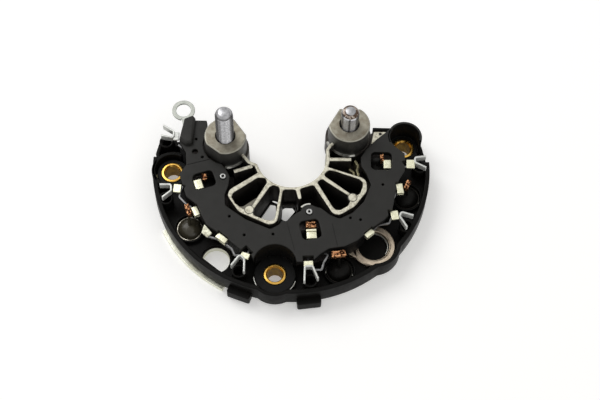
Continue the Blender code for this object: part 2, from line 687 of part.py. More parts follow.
def make_positive_heat_sink():
    """The cast plate with the bay wall, fins, lobes, stud bosses and the ring lug."""
    outer = arc((0.0, 0.0), POSITIVE_RADIUS, 172.0, 361.0)
    right_side = [(48.0, 4.0), (45.4, 20.9), (37.8, 20.9), (34.0, 17.0), (25.0, 21.4), (17.2, 12.0), (15.6, 4.0)]
    right_end = rounded(lay(right_side), 1.5, False)
    left_side = [(-17.5, -3.0), (-22.4, 3.6), (-24.0, 12.0), (-34.0, 14.6), (-47.2, 15.4)]
    left_end = rounded(lay(left_side), 2.0, False)
    bay = arc((0.0, 0.0), BAY_RADIUS + BAY_WALL / 3, 372.0, 193.0)
    under_boss = (STUD_HEAD_RADIUS + BOSS_RADIUS) / 2
    holes = [arc(center, under_boss, 4.0, 364.0)[:-1] for center in (LEFT_BOSS, RIGHT_BOSS)]
    outline = outer + right_end + bay + left_end
    sink = plate("positive_heat_sink", outline, POSITIVE_BOTTOM, POSITIVE_TOP, holes, parts)
    foot = POSITIVE_BOTTOM + OVERLAP
    pieces = []
    for index, (name, center, radius) in enumerate(casting_lugs(), 1):
        bottom, top = POSITIVE_BOTTOM + 0.04 * index, POSITIVE_TOP - 0.04 * index
        pieces.append(plate(name, circle(center, radius), bottom, top))
        root = at_radius(center, POSITIVE_RADIUS - LUG_ROOT)
        arm = stroke([root, center], LUG_ARM * radius)
        pieces.append(plate(f"{name}_arm", arm, bottom + 0.02, top - 0.02))
    middle = BAY_RADIUS + BAY_WALL / 2
    wall_path = lay_bay([(-23.4, 2.6), (-19.0, -3.4)])
    wall_path += arc((0.0, 0.0), middle, 198.0, 372.0) + lay_bay([(17.6, 6.0), (20.6, 8.6)])
    pieces.append(plate("bay_wall", stroke(wall_path, BAY_WALL), foot, FIN_TOP))
    pieces.append(plate("comb", comb(), foot, FIN_TOP - 0.02))
    pieces.append(rib("short_fin_left", lay_bay([(-17.6, -5.6), (-25.4, -8.4)]), width=1.7))
    pieces.append(rib("short_fin_right", lay_bay([(16.8, -1.3), (26.6, -1.1)]), width=1.7))
    guard = lay_bay([(29.0, 2.0), (30.0, -2.0), (29.6, -8.4)])
    pieces.append(rib("guard_wall", guard, GUARD_TOP, GUARD_WIDTH))
    for side, center in RIVET_CENTERS.items():
        pieces.append(plate(f"pillar_{side}", circle(center, RIVET_PILLAR), foot, CARRIER_BOTTOM - GAP))
    lip = arc(RIVET_CENTERS["front"], LIP_RADIUS, *LIP_ROUND)
    pieces.append(plate("front_lip", stroke(lip, LIP_WIDTH), foot, CARRIER_TOP - LIP_BELOW_CARRIER))
    pieces.append(boss("left_boss", LEFT_BOSS, BOSS_FLATS["left"]))
    pieces.append(boss("right_boss", RIGHT_BOSS, BOSS_FLATS["right"]))
    join(sink, *pieces)
    bottom, top = POSITIVE_BOTTOM - 1.0, POSITIVE_TOP + 1.0
    openings = [circle(center, SLEEVE_RADIUS + FIT) for center in BUSH_CENTERS.values()]
    openings.append(circle(RING_LUG_CENTER, RING_LUG_HOLE))
    openings += [circle(seat, DIODE_RADIUS + FIT) for seat, _, _ in POSITIVE_DIODES.values()]
    openings += [circle(seat, DIODE_RADIUS + GAP) for seat, _, _ in NEGATIVE_DIODES.values()]
    openings += [circle(center, TUBE_RADIUS + GAP) for center in TUBE_CENTERS]
    openings.append(rounded(lay_bay(OPEN_POCKET_FLOOR), 1.0))
    cutters = [plate(f"opening_{index}", shape, bottom, top) for index, shape in enumerate(openings, 1)]
    vent = rounded(lay_bay(VENT_FRONT_FLOOR), VENT_FILLET)
    cutters.append(plate("vent_floor", vent, bottom, top))
    for index, pocket in enumerate(POCKETS, 1):
        shape = rounded(lay_bay(pocket), POCKET_FILLET)
        cutters.append(plate(f"pocket_{index}", shape, bottom, FIN_TOP + 1.0))
    for side, center in RIVET_CENTERS.items():
        shank = circle(center, RIVET_SHANK + FIT)
        cutters.append(plate(f"rivet_hole_{side}", shank, CARRIER_BOTTOM - RIVET_GRIP - 0.5, CARRIER_TOP))
    cut(sink, *cutters)
    return finish_piece(sink, CAST_ALUMINIUM)


def carrier_outer_edge():
    """The edge that faces the rim, from the right well round the front to the left end."""
    right = [(50.7, 3.0), (50.9, -0.6), (50.5, -6.0), (47.8, -10.8), (46.2, -16.2), (45.4, -21.6), (44.4, -26.4)]
    front_right = [(41.2, -30.2), (35.4, -34.6), (29.4, -40.4), (23.8, -43.4), (17.0, -44.6), (13.6, -47.0)]
    front_right += [(10.6, -50.0), (5.6, -51.2)]
    well = arc(BUSH_CENTERS["front"], WASHER_RADIUS["front"] + FRONT_WELL_ROOM, 8.0, 168.0)
    front_left = [(-16.6, -48.0), (-20.4, -46.6), (-27.6, -40.6), (-32.4, -37.2), (-36.4, -34.4), (-38.6, -30.4)]
    left = [(-42.0, -24.0), (-46.0, -20.8), (-47.6, -15.8), (-49.6, -9.6), (-46.8, -5.0), (-47.2, 1.0), (-50.6, 6.8)]
    return rounded(lay(right + front_right), 1.2, False) + well + rounded(lay(front_left + left), 1.2, False)


def carrier_inner_edge():
    """The edge that follows the bosses and the fins, from the left end to the right well."""
    by_boss = arc(LEFT_BOSS, BOSS_RADIUS + 0.7, 152.0, 262.0)
    by_left_lobe = [(-28.6, -7.6), (-27.2, -10.6), (-27.6, -15.0), (-29.0, -19.6), (-28.6, -24.8)]
    before_tongue = [(-19.4, -31.4), (-8.6, -35.9), (-4.8, -33.6), (-3.4, -31.4), (-1.8, -32.0), (2.5, -28.0)]
    tongue = arc(RIVET_CENTERS["front"], LIP_RADIUS - LIP_WIDTH / 2 - GAP, 170.0, 52.0)
    by_right_lobe = [(13.4, -25.2), (17.4, -28.4), (21.6, -30.2), (27.2, -27.2), (32.2, -21.6), (35.4, -13.4)]
    by_right_lobe.append((33.4, -7.6))
    to_well = [(31.2, -4.0), (31.0, 0.6), (33.4, 4.6), (37.8, 9.6), (44.0, 15.2), (48.5, 17.0), (50.0, 10.0)]
    to_well.append((46.6, 6.3))
    before = rounded([by_boss[-1]] + lay_bay(by_left_lobe + before_tongue), 1.6, False)[1:]
    after = rounded(lay_bay(by_right_lobe) + lay(to_well), 1.6, False)
    return [between((-38.4, 16.6))] + by_boss + before + tongue + after


def clip_room(seat, vertex):
    """Room in the carrier for a clip's seat, open towards the clip."""
    away = (Vector(seat) - Vector(vertex)).normalized()
    inner = Vector(seat) + away * (CLIP_SEAT / 2 + GAP)
    outer = Vector(seat) - away * CLIP_SEAT
    return stroke([tuple(inner), tuple(outer)], CLIP_SEAT + 2 * GAP)


def make_terminal_carrier():
    """The moulded cover plate with its skirt, wells, windows, grooves for the bars and the finger."""
    end = rounded(lay([(-48.8, 17.0), (-44.0, 18.0), (-38.8, 18.0)]), 1.0, False)
    outline = end + carrier_inner_edge() + carrier_outer_edge()
    holes = [turned_box(*window, radius=WINDOW_FILLET) for window in WINDOWS]
    holes += [circle(hole, PIN_HOLE_RADIUS) for hole in PIN_HOLES]
    holes += [circle(hole, RIVET_SHANK + FIT) for hole in RIVET_CENTERS.values()]
    room = WASHER_RADIUS["right"] + GAP
    holes.append(circle(BUSH_CENTERS["right"], room))
    carrier = plate("terminal_carrier", outline, CARRIER_BOTTOM, CARRIER_TOP, holes, parts)
    front_radius = WASHER_RADIUS["front"] + FRONT_WELL_ROOM + FRONT_WELL_WALL / 2
    front_path = arc(BUSH_CENTERS["front"], front_radius, 30.0, 150.0)
    wall_top = CARRIER_BOTTOM + OVERLAP
    pieces = [plate("front_well_wall", stroke(front_path, FRONT_WELL_WALL), SKIRT_BOTTOM, wall_top)]
    right_path = arc(BUSH_CENTERS["right"], room + WELL_WALL / 2 + 0.01, *RIGHT_WELL_ROUND)
    pieces.append(plate("right_well_wall", stroke(right_path, WELL_WALL), SKIRT_BOTTOM, CARRIER_TOP - 0.02))
    skirts = {
        "left_front": [(-21.6, -45.4), (-27.6, -40.6), (-32.4, -37.2), (-36.4, -34.4), (-38.2, -31.2)],
        "right_front": [(33.0, -36.8), (29.4, -40.4), (23.8, -43.4), (19.6, -44.2)],
        "right": [(45.2, -24.0), (45.4, -21.6), (46.2, -16.8)],
        "left": [(-47.6, -15.8), (-49.4, -9.8), (-46.9, -5.0)],
    }
    for name, path in skirts.items():
        inset = rounded(toward_axis(lay(path), SKIRT_INSET), 1.0, False)
        pieces.append(plate(f"skirt_{name}", stroke(inset, SKIRT_WALL), SKIRT_BOTTOM, wall_top))
    pieces.append(plate("finger", rounded(FINGER, 0.9), wall_top, CARRIER_TOP + FINGER_HEIGHT))
    join(carrier, *pieces)
    cutters = []
    for side, paths in BAR_PATHS.items():
        for index, path in enumerate(paths, 1):
            shape = stroke(path, BAR_WIDTH + 2 * FIT)
            cutters.append(plate(f"groove_{side}_{index}", shape, BAR_BOTTOM - GAP, BAR_TOP + GAP - 0.02))
    for side, tabs in TABS.items():
        for index, (x, y, length, width, turn) in enumerate(tabs, 1):
            room = turned_box(x, y, length + 2 * GAP, width + 2 * GAP, turn)
            cutters.append(plate(f"tab_room_{side}_{index}", room, BAR_BOTTOM - GAP, CARRIER_TOP + 1.0))
    for index, (vertex, _, _, seat) in enumerate(CLIPS, 1):
        room = clip_room(seat, vertex)
        cutters.append(plate(f"clip_room_{index}", room, BAR_BOTTOM - GAP, CARRIER_TOP + 1.0))
    for index, line in enumerate(JOINT_LINES, 1):
        groove = stroke(line, JOINT_WIDTH)
        cutters.append(plate(f"joint_line_{index}", groove, CARRIER_TOP - JOINT_DEPTH, CARRIER_TOP + 1.0))
    cut(carrier, *cutters)
    return finish_piece(carrier, BLACK_MOULDING)


def make_bush(side):
    """A brass bush with a chamfered bore mouth."""
    top = POSITIVE_TOP + BUSH_TOP_ABOVE_PLATE
    profile = [(BUSH_BORE, top - 0.5), (BUSH_BORE + 0.45, top), (BUSH_RADIUS - 0.3, top)]
    profile += [(BUSH_RADIUS, top - 0.3), (BUSH_RADIUS, 0.0), (BUSH_BORE, 0.0), (BUSH_BORE, top - 0.5)]
    return finish_piece(turned(f"mounting_bush_{side}", profile, BUSH_CENTERS[side], parts), BRASS)


def make_sleeve(side):
    """The insulating sleeve round a bush, with a flange on the positive plate."""
    inner = BUSH_RADIUS + FIT
    bottom = POSITIVE_TOP + GAP
    top = bottom + WASHER_THICKNESS
    rim = WASHER_RADIUS[side]
    profile = [(inner, top), (rim - 0.2, top), (rim, top - 0.2), (rim, bottom), (SLEEVE_RADIUS, bottom)]
    profile += [(SLEEVE_RADIUS, FRAME_BOTTOM), (inner, FRAME_BOTTOM), (inner, top)]
    return finish_piece(turned(f"bush_sleeve_{side}", profile, BUSH_CENTERS[side], parts), GLOSSY_MOULDING)


def make_stud(name, center, above, tip):
    """An output stud: head under the boss, shank, and its own form of tip."""
    top = BOSS_TOP + above
    head_bottom = POSITIVE_BOTTOM
    profile = [(0.0, top)] + [(radius, top - drop) for radius, drop in tip]
    head_top = head_bottom + STUD_HEAD_HEIGHT
    profile += [(STUD_RADIUS, head_top), (STUD_HEAD_RADIUS, head_top)]
    profile += [(STUD_HEAD_RADIUS, head_bottom), (0.0, head_bottom)]
    return finish_piece(turned(name, profile, center, parts), ZINC)


def make_diode(name, seat, weld, turn, base, nugget_top):
    """A press-fit diode: cup, domed cap and a lead that ends in a squeezed copper nugget."""
    cup = base + DIODE_HEIGHT
    profile = [(0.0, cup + DIODE_DOME), (DIODE_DOME_RADIUS * 0.42, cup + DIODE_DOME * 0.88)]
    profile += [(DIODE_DOME_RADIUS * 0.78, cup + DIODE_DOME * 0.55), (DIODE_DOME_RADIUS, cup)]
    profile += [(DIODE_RADIUS - 0.3, cup), (DIODE_RADIUS, cup - 0.3), (DIODE_RADIUS, base + 0.3)]
    profile += [(DIODE_RADIUS - 0.3, base), (0.0, base)]
    diode = turned(name, profile, seat, parts, steps=SMALL_STEPS)
    start = Vector((seat[0], seat[1], cup + DIODE_DOME - 1.0))
    end = Vector((weld[0], weld[1], nugget_top - NUGGET[2] / 2))
    bend = Vector((seat[0] * 0.7 + weld[0] * 0.3, seat[1] * 0.7 + weld[1] * 0.3, start.z + 1.6))
    lead = make_wire(f"{name}_lead", (start, bend, end), DIODE_LEAD_RADIUS)
    shape = turned_box(weld[0], weld[1], NUGGET[0], NUGGET[1], turn, 0.6)
    nugget = plate(f"{name}_nugget", shape, nugget_top - NUGGET[2], nugget_top)
    join(diode, lead, nugget)
    return finish_piece(diode, DIODE_CASE)


def make_wire(name, points, radius):
    """A round wire through these points, as a mesh with welded caps."""
    curve = bpy.data.curves.new(name, "CURVE")
    curve.dimensions = "3D"
    curve.bevel_depth = radius * MM
    curve.bevel_resolution = 1
    curve.use_fill_caps = True
    spline = curve.splines.new("POLY")
    spline.points.add(len(points) - 1)
    for point, place in zip(spline.points, points):
        point.co = (*(place * MM), 1.0)
    drawn = bpy.data.objects.new(name, curve)
    bpy.context.scene.collection.objects.link(drawn)
    graph = bpy.context.evaluated_depsgraph_get()
    mesh = bpy.data.meshes.new_from_object(drawn.evaluated_get(graph))
    bpy.data.objects.remove(drawn, do_unlink=True)
    bpy.data.curves.remove(curve)
    shape = bmesh.new()
    shape.from_mesh(mesh)
    bmesh.ops.remove_doubles(shape, verts=shape.verts, dist=1e-6)
    bmesh.ops.recalc_face_normals(shape, faces=shape.faces)
    shape.to_mesh(mesh)
    shape.free()
    mesh.name = name
    return add_mesh(name, mesh, helpers)


def folded_tab(name, x, y, length, width, turn):
    """A tab folded back over the bar: foot, back and upper leaf as one bent section."""
    back = -length / 2
    front = length / 2
    foot_bottom = BAR_BOTTOM + 0.05
    foot_top = BAR_TOP - 0.05
    leaf_bottom = TAB_TOP_LEVEL - TAB_LEAF
    section = [(back, foot_bottom), (front, foot_bottom), (front, foot_top), (back + TAB_LEAF, foot_top)]
    section += [(back + TAB_LEAF, leaf_bottom), (front, leaf_bottom), (front, TAB_TOP_LEVEL), (back, TAB_TOP_LEVEL)]
    tab = plate(name, rounded(section, 0.3), -width / 2, width / 2)
    tab.rotation_euler = (math.radians(90.0), 0.0, math.radians(turn))
    tab.location = (x * MM, y * MM, 0.0)
    return tab


def make_phase_bar(side):
    """A stamped bar: strips under the carrier and folded tabs where leads are welded."""
    shapes = [stroke(path, BAR_WIDTH) for path in BAR_PATHS[side]]
    bar = plate(f"phase_bar_{side}", shapes[0], BAR_BOTTOM, BAR_TOP, (), parts)
    pieces = []
    for index, shape in enumerate(shapes[1:], 2):
        thinner = 0.01 * index
        pieces.append(plate(f"strip_{side}_{index}", shape, BAR_BOTTOM + thinner, BAR_TOP - thinner))
    for index, tab in enumerate(TABS[side], 1):
        pieces.append(folded_tab(f"tab_{side}_{index}", *tab))
    join(bar, *pieces)
    return finish_piece(bar, TINNED)


def make_clip(index, vertex, first, second, seat):
    """A stator wire clip: a strip on edge, folded to a V, with a flat seat over the phase bar."""
    path = rounded([first, vertex, second], 0.8, False)
    strip = stroke(path, CLIP_THICKNESS)
    clip = plate(f"stator_clip_{index}", strip, CLIP_TOP - CLIP_HEIGHT, CLIP_TOP, (), parts)
    turn = math.degrees(math.atan2(vertex[1] - seat[1], vertex[0] - seat[0]))
    tab = turned_box(seat[0], seat[1], CLIP_SEAT, CLIP_SEAT, turn, 0.4)
    bottom = BAR_TOP + GAP
    share = 1 + CLIP_LINK_PAST / math.dist(seat, vertex)
    end = (seat[0] + (vertex[0] - seat[0]) * share, seat[1] + (vertex[1] - seat[1]) * share)
    link = stroke([seat, end], CLIP_SEAT - 1.2)
    join(
        clip,
        plate(f"clip_tab_{index}", tab, bottom, bottom + CLIP_THICKNESS),
        plate(f"clip_link_{index}", link, bottom + 0.05, bottom + CLIP_THICKNESS - 0.05),
    )
    return finish_piece(clip, TINNED)


def make_rivet(side):
    """A hollow rivet that holds the carrier on its pillar."""
    top = CARRIER_TOP + GAP
    bottom = CARRIER_BOTTOM - RIVET_GRIP
    crown = top + RIVET_HEAD_HEIGHT
    profile = [(RIVET_BORE, crown), (RIVET_HEAD - 0.3, crown), (RIVET_HEAD, top + 0.2), (RIVET_HEAD, top)]
    profile += [(RIVET_SHANK, top), (RIVET_SHANK, bottom), (RIVET_BORE, bottom), (RIVET_BORE, crown)]
    rivet = turned(f"carrier_rivet_{side}", profile, RIVET_CENTERS[side], parts, steps=SMALL_STEPS)
    return finish_piece(rivet, ZINC)


def make_ring_terminal():
    """The stamped ring terminal that reaches out from under the finger."""
    tongue = stroke([EYELET_ROOT, EYELET_CENTER], EYELET_TONGUE)
    hole = circle(EYELET_CENTER, EYELET_HOLE)
    top = BAR_TOP
    bottom = top - EYELET_THICKNESS
    terminal = plate("ring_terminal", circle(EYELET_CENTER, EYELET_RADIUS), bottom, top, (), parts)
    join(terminal, plate("terminal_tongue", tongue, bottom + 0.02, top - 0.02))
    cut(terminal, plate("terminal_hole", hole, bottom - 1.0, top + 1.0))
    return finish_piece(terminal, ZINC)


def center_on_outline():
    """Moves pieces and cutters alike, so that the origin is under the middle of the part."""
    shift = Vector((SHAFT_AXIS[0] * MM, SHAFT_AXIS[1] * MM, 0.0))
    for obj in (*parts.objects, *helpers.objects):
        obj.location += shift


def main():
    make_negative_heat_sink()
    make_insulator_frame()
    make_positive_heat_sink()
    make_terminal_carrier()
    for side in BUSH_CENTERS:
        make_sleeve(side)
        make_bush(side)
    make_stud("battery_stud", LEFT_BOSS, LONG_STUD_ABOVE_BOSS, [(2.9, 0.0), (STUD_RADIUS, 1.4)])
    short_tip = [(2.0, 0.0), (2.3, 0.4), (2.3, 1.6), (3.3, 2.2), (STUD_RADIUS, 4.4)]
    make_stud("short_stud", RIGHT_BOSS, SHORT_STUD_ABOVE_BOSS, short_tip)
    for side, (seat, weld, turn) in NEGATIVE_DIODES.items():
        make_diode(f"negative_diode_{side}", seat, weld, turn, DIODE_LIFT, NUGGET_TOP["negative"])
    base = FRAME_BOTTOM + DIODE_LIFT / 2
    for side, (seat, weld, turn) in POSITIVE_DIODES.items():
        make_diode(f"positive_diode_{side}", seat, weld, turn, base, NUGGET_TOP["positive"])
    for side in BAR_PATHS:
        make_phase_bar(side)
    for index, clip in enumerate(CLIPS, 1):
        make_clip(index, *clip)
    for side in RIVET_CENTERS:
        make_rivet(side)
    make_ring_terminal()
    center_on_outline()


clear_scene()
parts = make_collection("alternator_rectifier")
helpers = make_collection("cutters")
main()
helpers.hide_render = True
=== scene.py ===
"""Alternator rectifier, dressed for its portrait.

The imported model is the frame. Each class below builds one sub-assembly of the rectifier in
millimetres, with places measured from the axis of the alternator shaft at the underside of the
part, and casts it in metres in the row frame.
"""

import logging
import math
from collections.abc import Callable, Iterable, Sequence
from dataclasses import dataclass, field
from enum import Enum, IntEnum

import bmesh
import bpy
from mathutils import Matrix, Vector
from mathutils.geometry import tessellate_polygon

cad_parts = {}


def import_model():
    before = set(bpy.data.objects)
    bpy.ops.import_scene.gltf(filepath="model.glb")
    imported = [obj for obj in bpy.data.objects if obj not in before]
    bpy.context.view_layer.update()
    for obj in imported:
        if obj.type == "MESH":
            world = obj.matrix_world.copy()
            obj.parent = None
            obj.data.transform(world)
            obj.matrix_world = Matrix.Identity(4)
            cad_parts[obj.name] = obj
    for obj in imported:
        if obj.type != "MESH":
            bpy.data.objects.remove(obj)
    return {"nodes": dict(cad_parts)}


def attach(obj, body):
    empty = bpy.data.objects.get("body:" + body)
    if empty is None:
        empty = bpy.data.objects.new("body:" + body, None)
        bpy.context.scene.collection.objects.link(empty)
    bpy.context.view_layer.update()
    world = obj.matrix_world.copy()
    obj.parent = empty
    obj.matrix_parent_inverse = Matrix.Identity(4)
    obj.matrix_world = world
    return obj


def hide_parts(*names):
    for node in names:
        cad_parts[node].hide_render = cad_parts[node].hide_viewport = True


LOG = logging.getLogger("rectifier")

MM = 0.001
# The shaft axis in the row frame, in millimetres, and in this file's own plan
SHAFT_AXIS = (0.1843, 17.5623)
AXIS = (0.0, 0.0)
# Width of the narrow border that keeps a slab's top flat under smooth shading
FLAT_BORDER = 0.1

Point = tuple[float, float]
Spot = tuple[float, float, float]
Level = tuple[float, float]
Span = tuple[float, float]
Color = tuple[float, float, float]
Outline = list[Point]
Mesh = bpy.types.Mesh
Piece = bpy.types.Object
Material = bpy.types.Material
Tree = bpy.types.NodeTree
Node = bpy.types.Node
Socket = bpy.types.NodeSocket


# Plane geometry


def polar(radius: float, angle: float, center: Point = AXIS) -> Point:
    """A point at this distance and bearing, in degrees, from a centre."""
    turn = math.radians(angle)
    return (center[0] + radius * math.cos(turn), center[1] + radius * math.sin(turn))


def bearing_of(point: Sequence[float]) -> float:
    """The bearing of a point from the shaft axis, from 0 to 360 degrees."""
    return math.degrees(math.atan2(point[1], point[0])) % 360.0


def arc(center: Point, radius: float, start: float, end: float, step: float = 0.0) -> Outline:
    """Points along an arc.

    Args:
        center: Middle of the arc.
        radius: Its radius.
        start: Bearing of the first point, in degrees.
        end: Bearing of the last point.
        step: Largest turn between points, or 0 for one that suits the radius.

    Returns:
        The points from start to end.
    """
    step = step or min(15.0, max(2.5, 40.0 / max(radius, 0.5)))
    count = max(2, math.ceil(abs(end - start) / step))
    return [polar(radius, start + (end - start) * i / count, center) for i in range(count + 1)]


def circle(center: Point, radius: float, step: float = 0.0) -> Outline:
    """A full circle, without its doubled last point."""
    return arc(center, radius, 0.0, 360.0, step)[:-1]


def fillet(before: Point, corner: Point, after: Point, radius: float) -> Outline:
    """The corner as an arc that touches both of its sides.

    Args:
        before: End of the first side.
        corner: Where the sides meet.
        after: End of the second side.
        radius: Radius of the arc.

    Returns:
        The points of the arc.
    """
    here = Vector(corner)
    to_before = Vector(before) - here
    to_after = Vector(after) - here
    half = to_before.angle(to_after) / 2
    if half > math.radians(88.0):
        return [corner]
    reach = min(radius / math.tan(half), 0.45 * to_before.length, 0.45 * to_after.length)
    true_radius = reach * math.tan(half)
    along = (to_before.normalized() + to_after.normalized()).normalized()
    middle = here + along * (true_radius / math.sin(half))
    first = here + to_before.normalized() * reach - middle
    last = here + to_after.normalized() * reach - middle
    start = math.degrees(math.atan2(first.y, first.x))
    turn = (math.degrees(math.atan2(last.y, last.x)) - start + 180.0) % 360.0 - 180.0
    return arc(tuple(middle), true_radius, start, start + turn, 11.0)


def rounded(corners: Sequence[Point], radius: float, closed: bool = True) -> Outline:
    """The outline or path through these corners, each taken off by an arc.

    Args:
        corners: The corners, in order.
        radius: Radius of every arc.
        closed: Whether the last corner joins the first.

    Returns:
        The rounded outline or path.
    """
    points: Outline = []
    count = len(corners)
    for i, corner in enumerate(corners):
        if not closed and i in (0, count - 1):
            points.append(corner)
            continue
        points += fillet(corners[i - 1], corner, corners[(i + 1) % count], radius)
    return points


def stroke(path: Sequence[Point], width: float) -> Outline:
    """The outline of a band of this width along an open path.

    Args:
        path: The open path.
        width: Width of the band.

    Returns:
        The outline.
    """
    points = [Vector(point) for point in path]
    legs = [(after - before).normalized() for before, after in zip(points, points[1:])]
    left: Outline = []
    right: Outline = []
    for point, before, after in zip(points, legs[:1] + legs, legs + legs[-1:]):
        along = (before + after).normalized()
        offset = Vector((-along.y, along.x)) * (width / 2 / along.dot(after))
        left.append(tuple(point + offset))
        right.append(tuple(point - offset))
    return left + right[::-1]


def turned_box(x: float, y: float, length: float, width: float, turn: float, radius: float = 0.4) -> Outline:
    """A rectangle about (x, y), turned by this angle, with small corner radii.

    Args:
        x: Middle, to the right.
        y: Middle, to the back.
        length: Size along the turned x axis.
        width: Size along the turned y axis.
        turn: Angle in degrees.
        radius: Radius of the corners.

    Returns:
        The outline.
    """
    along = Vector(polar(length / 2, turn))
    across = Vector(polar(width / 2, turn + 90.0))
    middle = Vector((x, y))
    corners = [
        middle + along + across, middle - along + across, middle - along - across, middle + along - across
    ]
    return rounded([tuple(corner) for corner in corners], radius)


def edge_with_lugs(radius: float, lugs: Iterable[tuple[Point, float]], start: float, end: float) -> Outline:
    """An arc about the shaft axis that swells round each lug.

    Args:
        radius: Radius of the arc.
        lugs: Centre and radius of each swelling.
        start: Bearing where the arc starts.
        end: Bearing where it ends.

    Returns:
        The points of the edge, anticlockwise.
    """
    points: Outline = []
    at = start
    for center, lug in sorted(lugs, key=lambda entry: math.atan2(entry[0][1], entry[0][0]) % math.tau):
        distance = math.hypot(*center)
        bearing = math.degrees(math.atan2(center[1], center[0])) % 360.0
        bearing += 360.0 if bearing < start - 90.0 else 0.0
        half = math.degrees(math.acos((radius**2 + distance**2 - lug**2) / (2 * radius * distance)))
        points += arc(AXIS, radius, at, bearing - half)
        meet = Vector(polar(radius, bearing - half)) - Vector(center)
        lean = (math.degrees(math.atan2(meet.y, meet.x)) - bearing) % 360.0 - 360.0
        points += arc(center, lug, bearing + lean, bearing - lean)[1:-1]
        at = bearing + half
    return points + arc(AXIS, radius, at, end)


def clean_loop(loop: Sequence[Point], anticlockwise: bool) -> Outline:
    """The loop without doubled points, running the way asked.

    Args:
        loop: A closed outline.
        anticlockwise: The way it has to run.

    Returns:
        The clean outline.
    """
    kept: Outline = []
    for point in loop:
        if not kept or math.dist(point, kept[-1]) > 1e-3:
            kept.append(point)
    if math.dist(kept[0], kept[-1]) < 1e-3:
        kept.pop()
    area = sum(a[0] * b[1] - b[0] * a[1] for a, b in zip(kept, kept[1:] + kept[:1]))
    return kept if (area > 0) == anticlockwise else kept[::-1]


def inset_loop(loop: Sequence[Point], amount: float) -> Outline:
    """The loop moved to its left by this amount.

    Args:
        loop: A closed outline.
        amount: Distance in millimetres.

    Returns:
        The moved outline, point for point.
    """
    if abs(amount) < 1e-6:
        return list(loop)
    moved: Outline = []
    count = len(loop)
    for i, here in enumerate(loop):
        back, ahead = loop[i - 1], loop[(i + 1) % count]
        first = Vector((here[0] - back[0], here[1] - back[1])).normalized()
        second = Vector((ahead[0] - here[0], ahead[1] - here[1])).normalized()
        normals = (Vector((-first.y, first.x)), Vector((-second.y, second.x)))
        miter = normals[0] + normals[1]
        if miter.length < 1e-4:
            moved.append(here)
            continue
        miter.normalize()
        reach = amount / max(0.5, miter.dot(normals[0]))
        moved.append((here[0] + miter.x * reach, here[1] + miter.y * reach))
    return moved


def soft_levels(bottom: float, top: float, edge: float, foot: float = 0.0, draft: float = 0.0) -> list[Level]:
    """Heights and insets of a slab with rounded top edges.

    Args:
        bottom: Lower face.
        top: Upper face.
        edge: Radius of the upper edges.
        foot: Chamfer of the lower edges.
        draft: How far the sides lean in from the foot to the top.

    Returns:
        (height, inset) from the bottom up. The last pair is a narrow border that keeps the top flat.
    """
    levels = [(bottom, foot), (bottom + foot, 0.0)] if foot else [(bottom, 0.0)]
    for angle in (0.0, 30.0, 60.0, 90.0):
        turn = math.radians(angle)
        levels.append((top - edge + edge * math.sin(turn), draft + edge * (1 - math.cos(turn))))
    levels.append((top, draft + edge + FLAT_BORDER))
    return levels


# Meshes


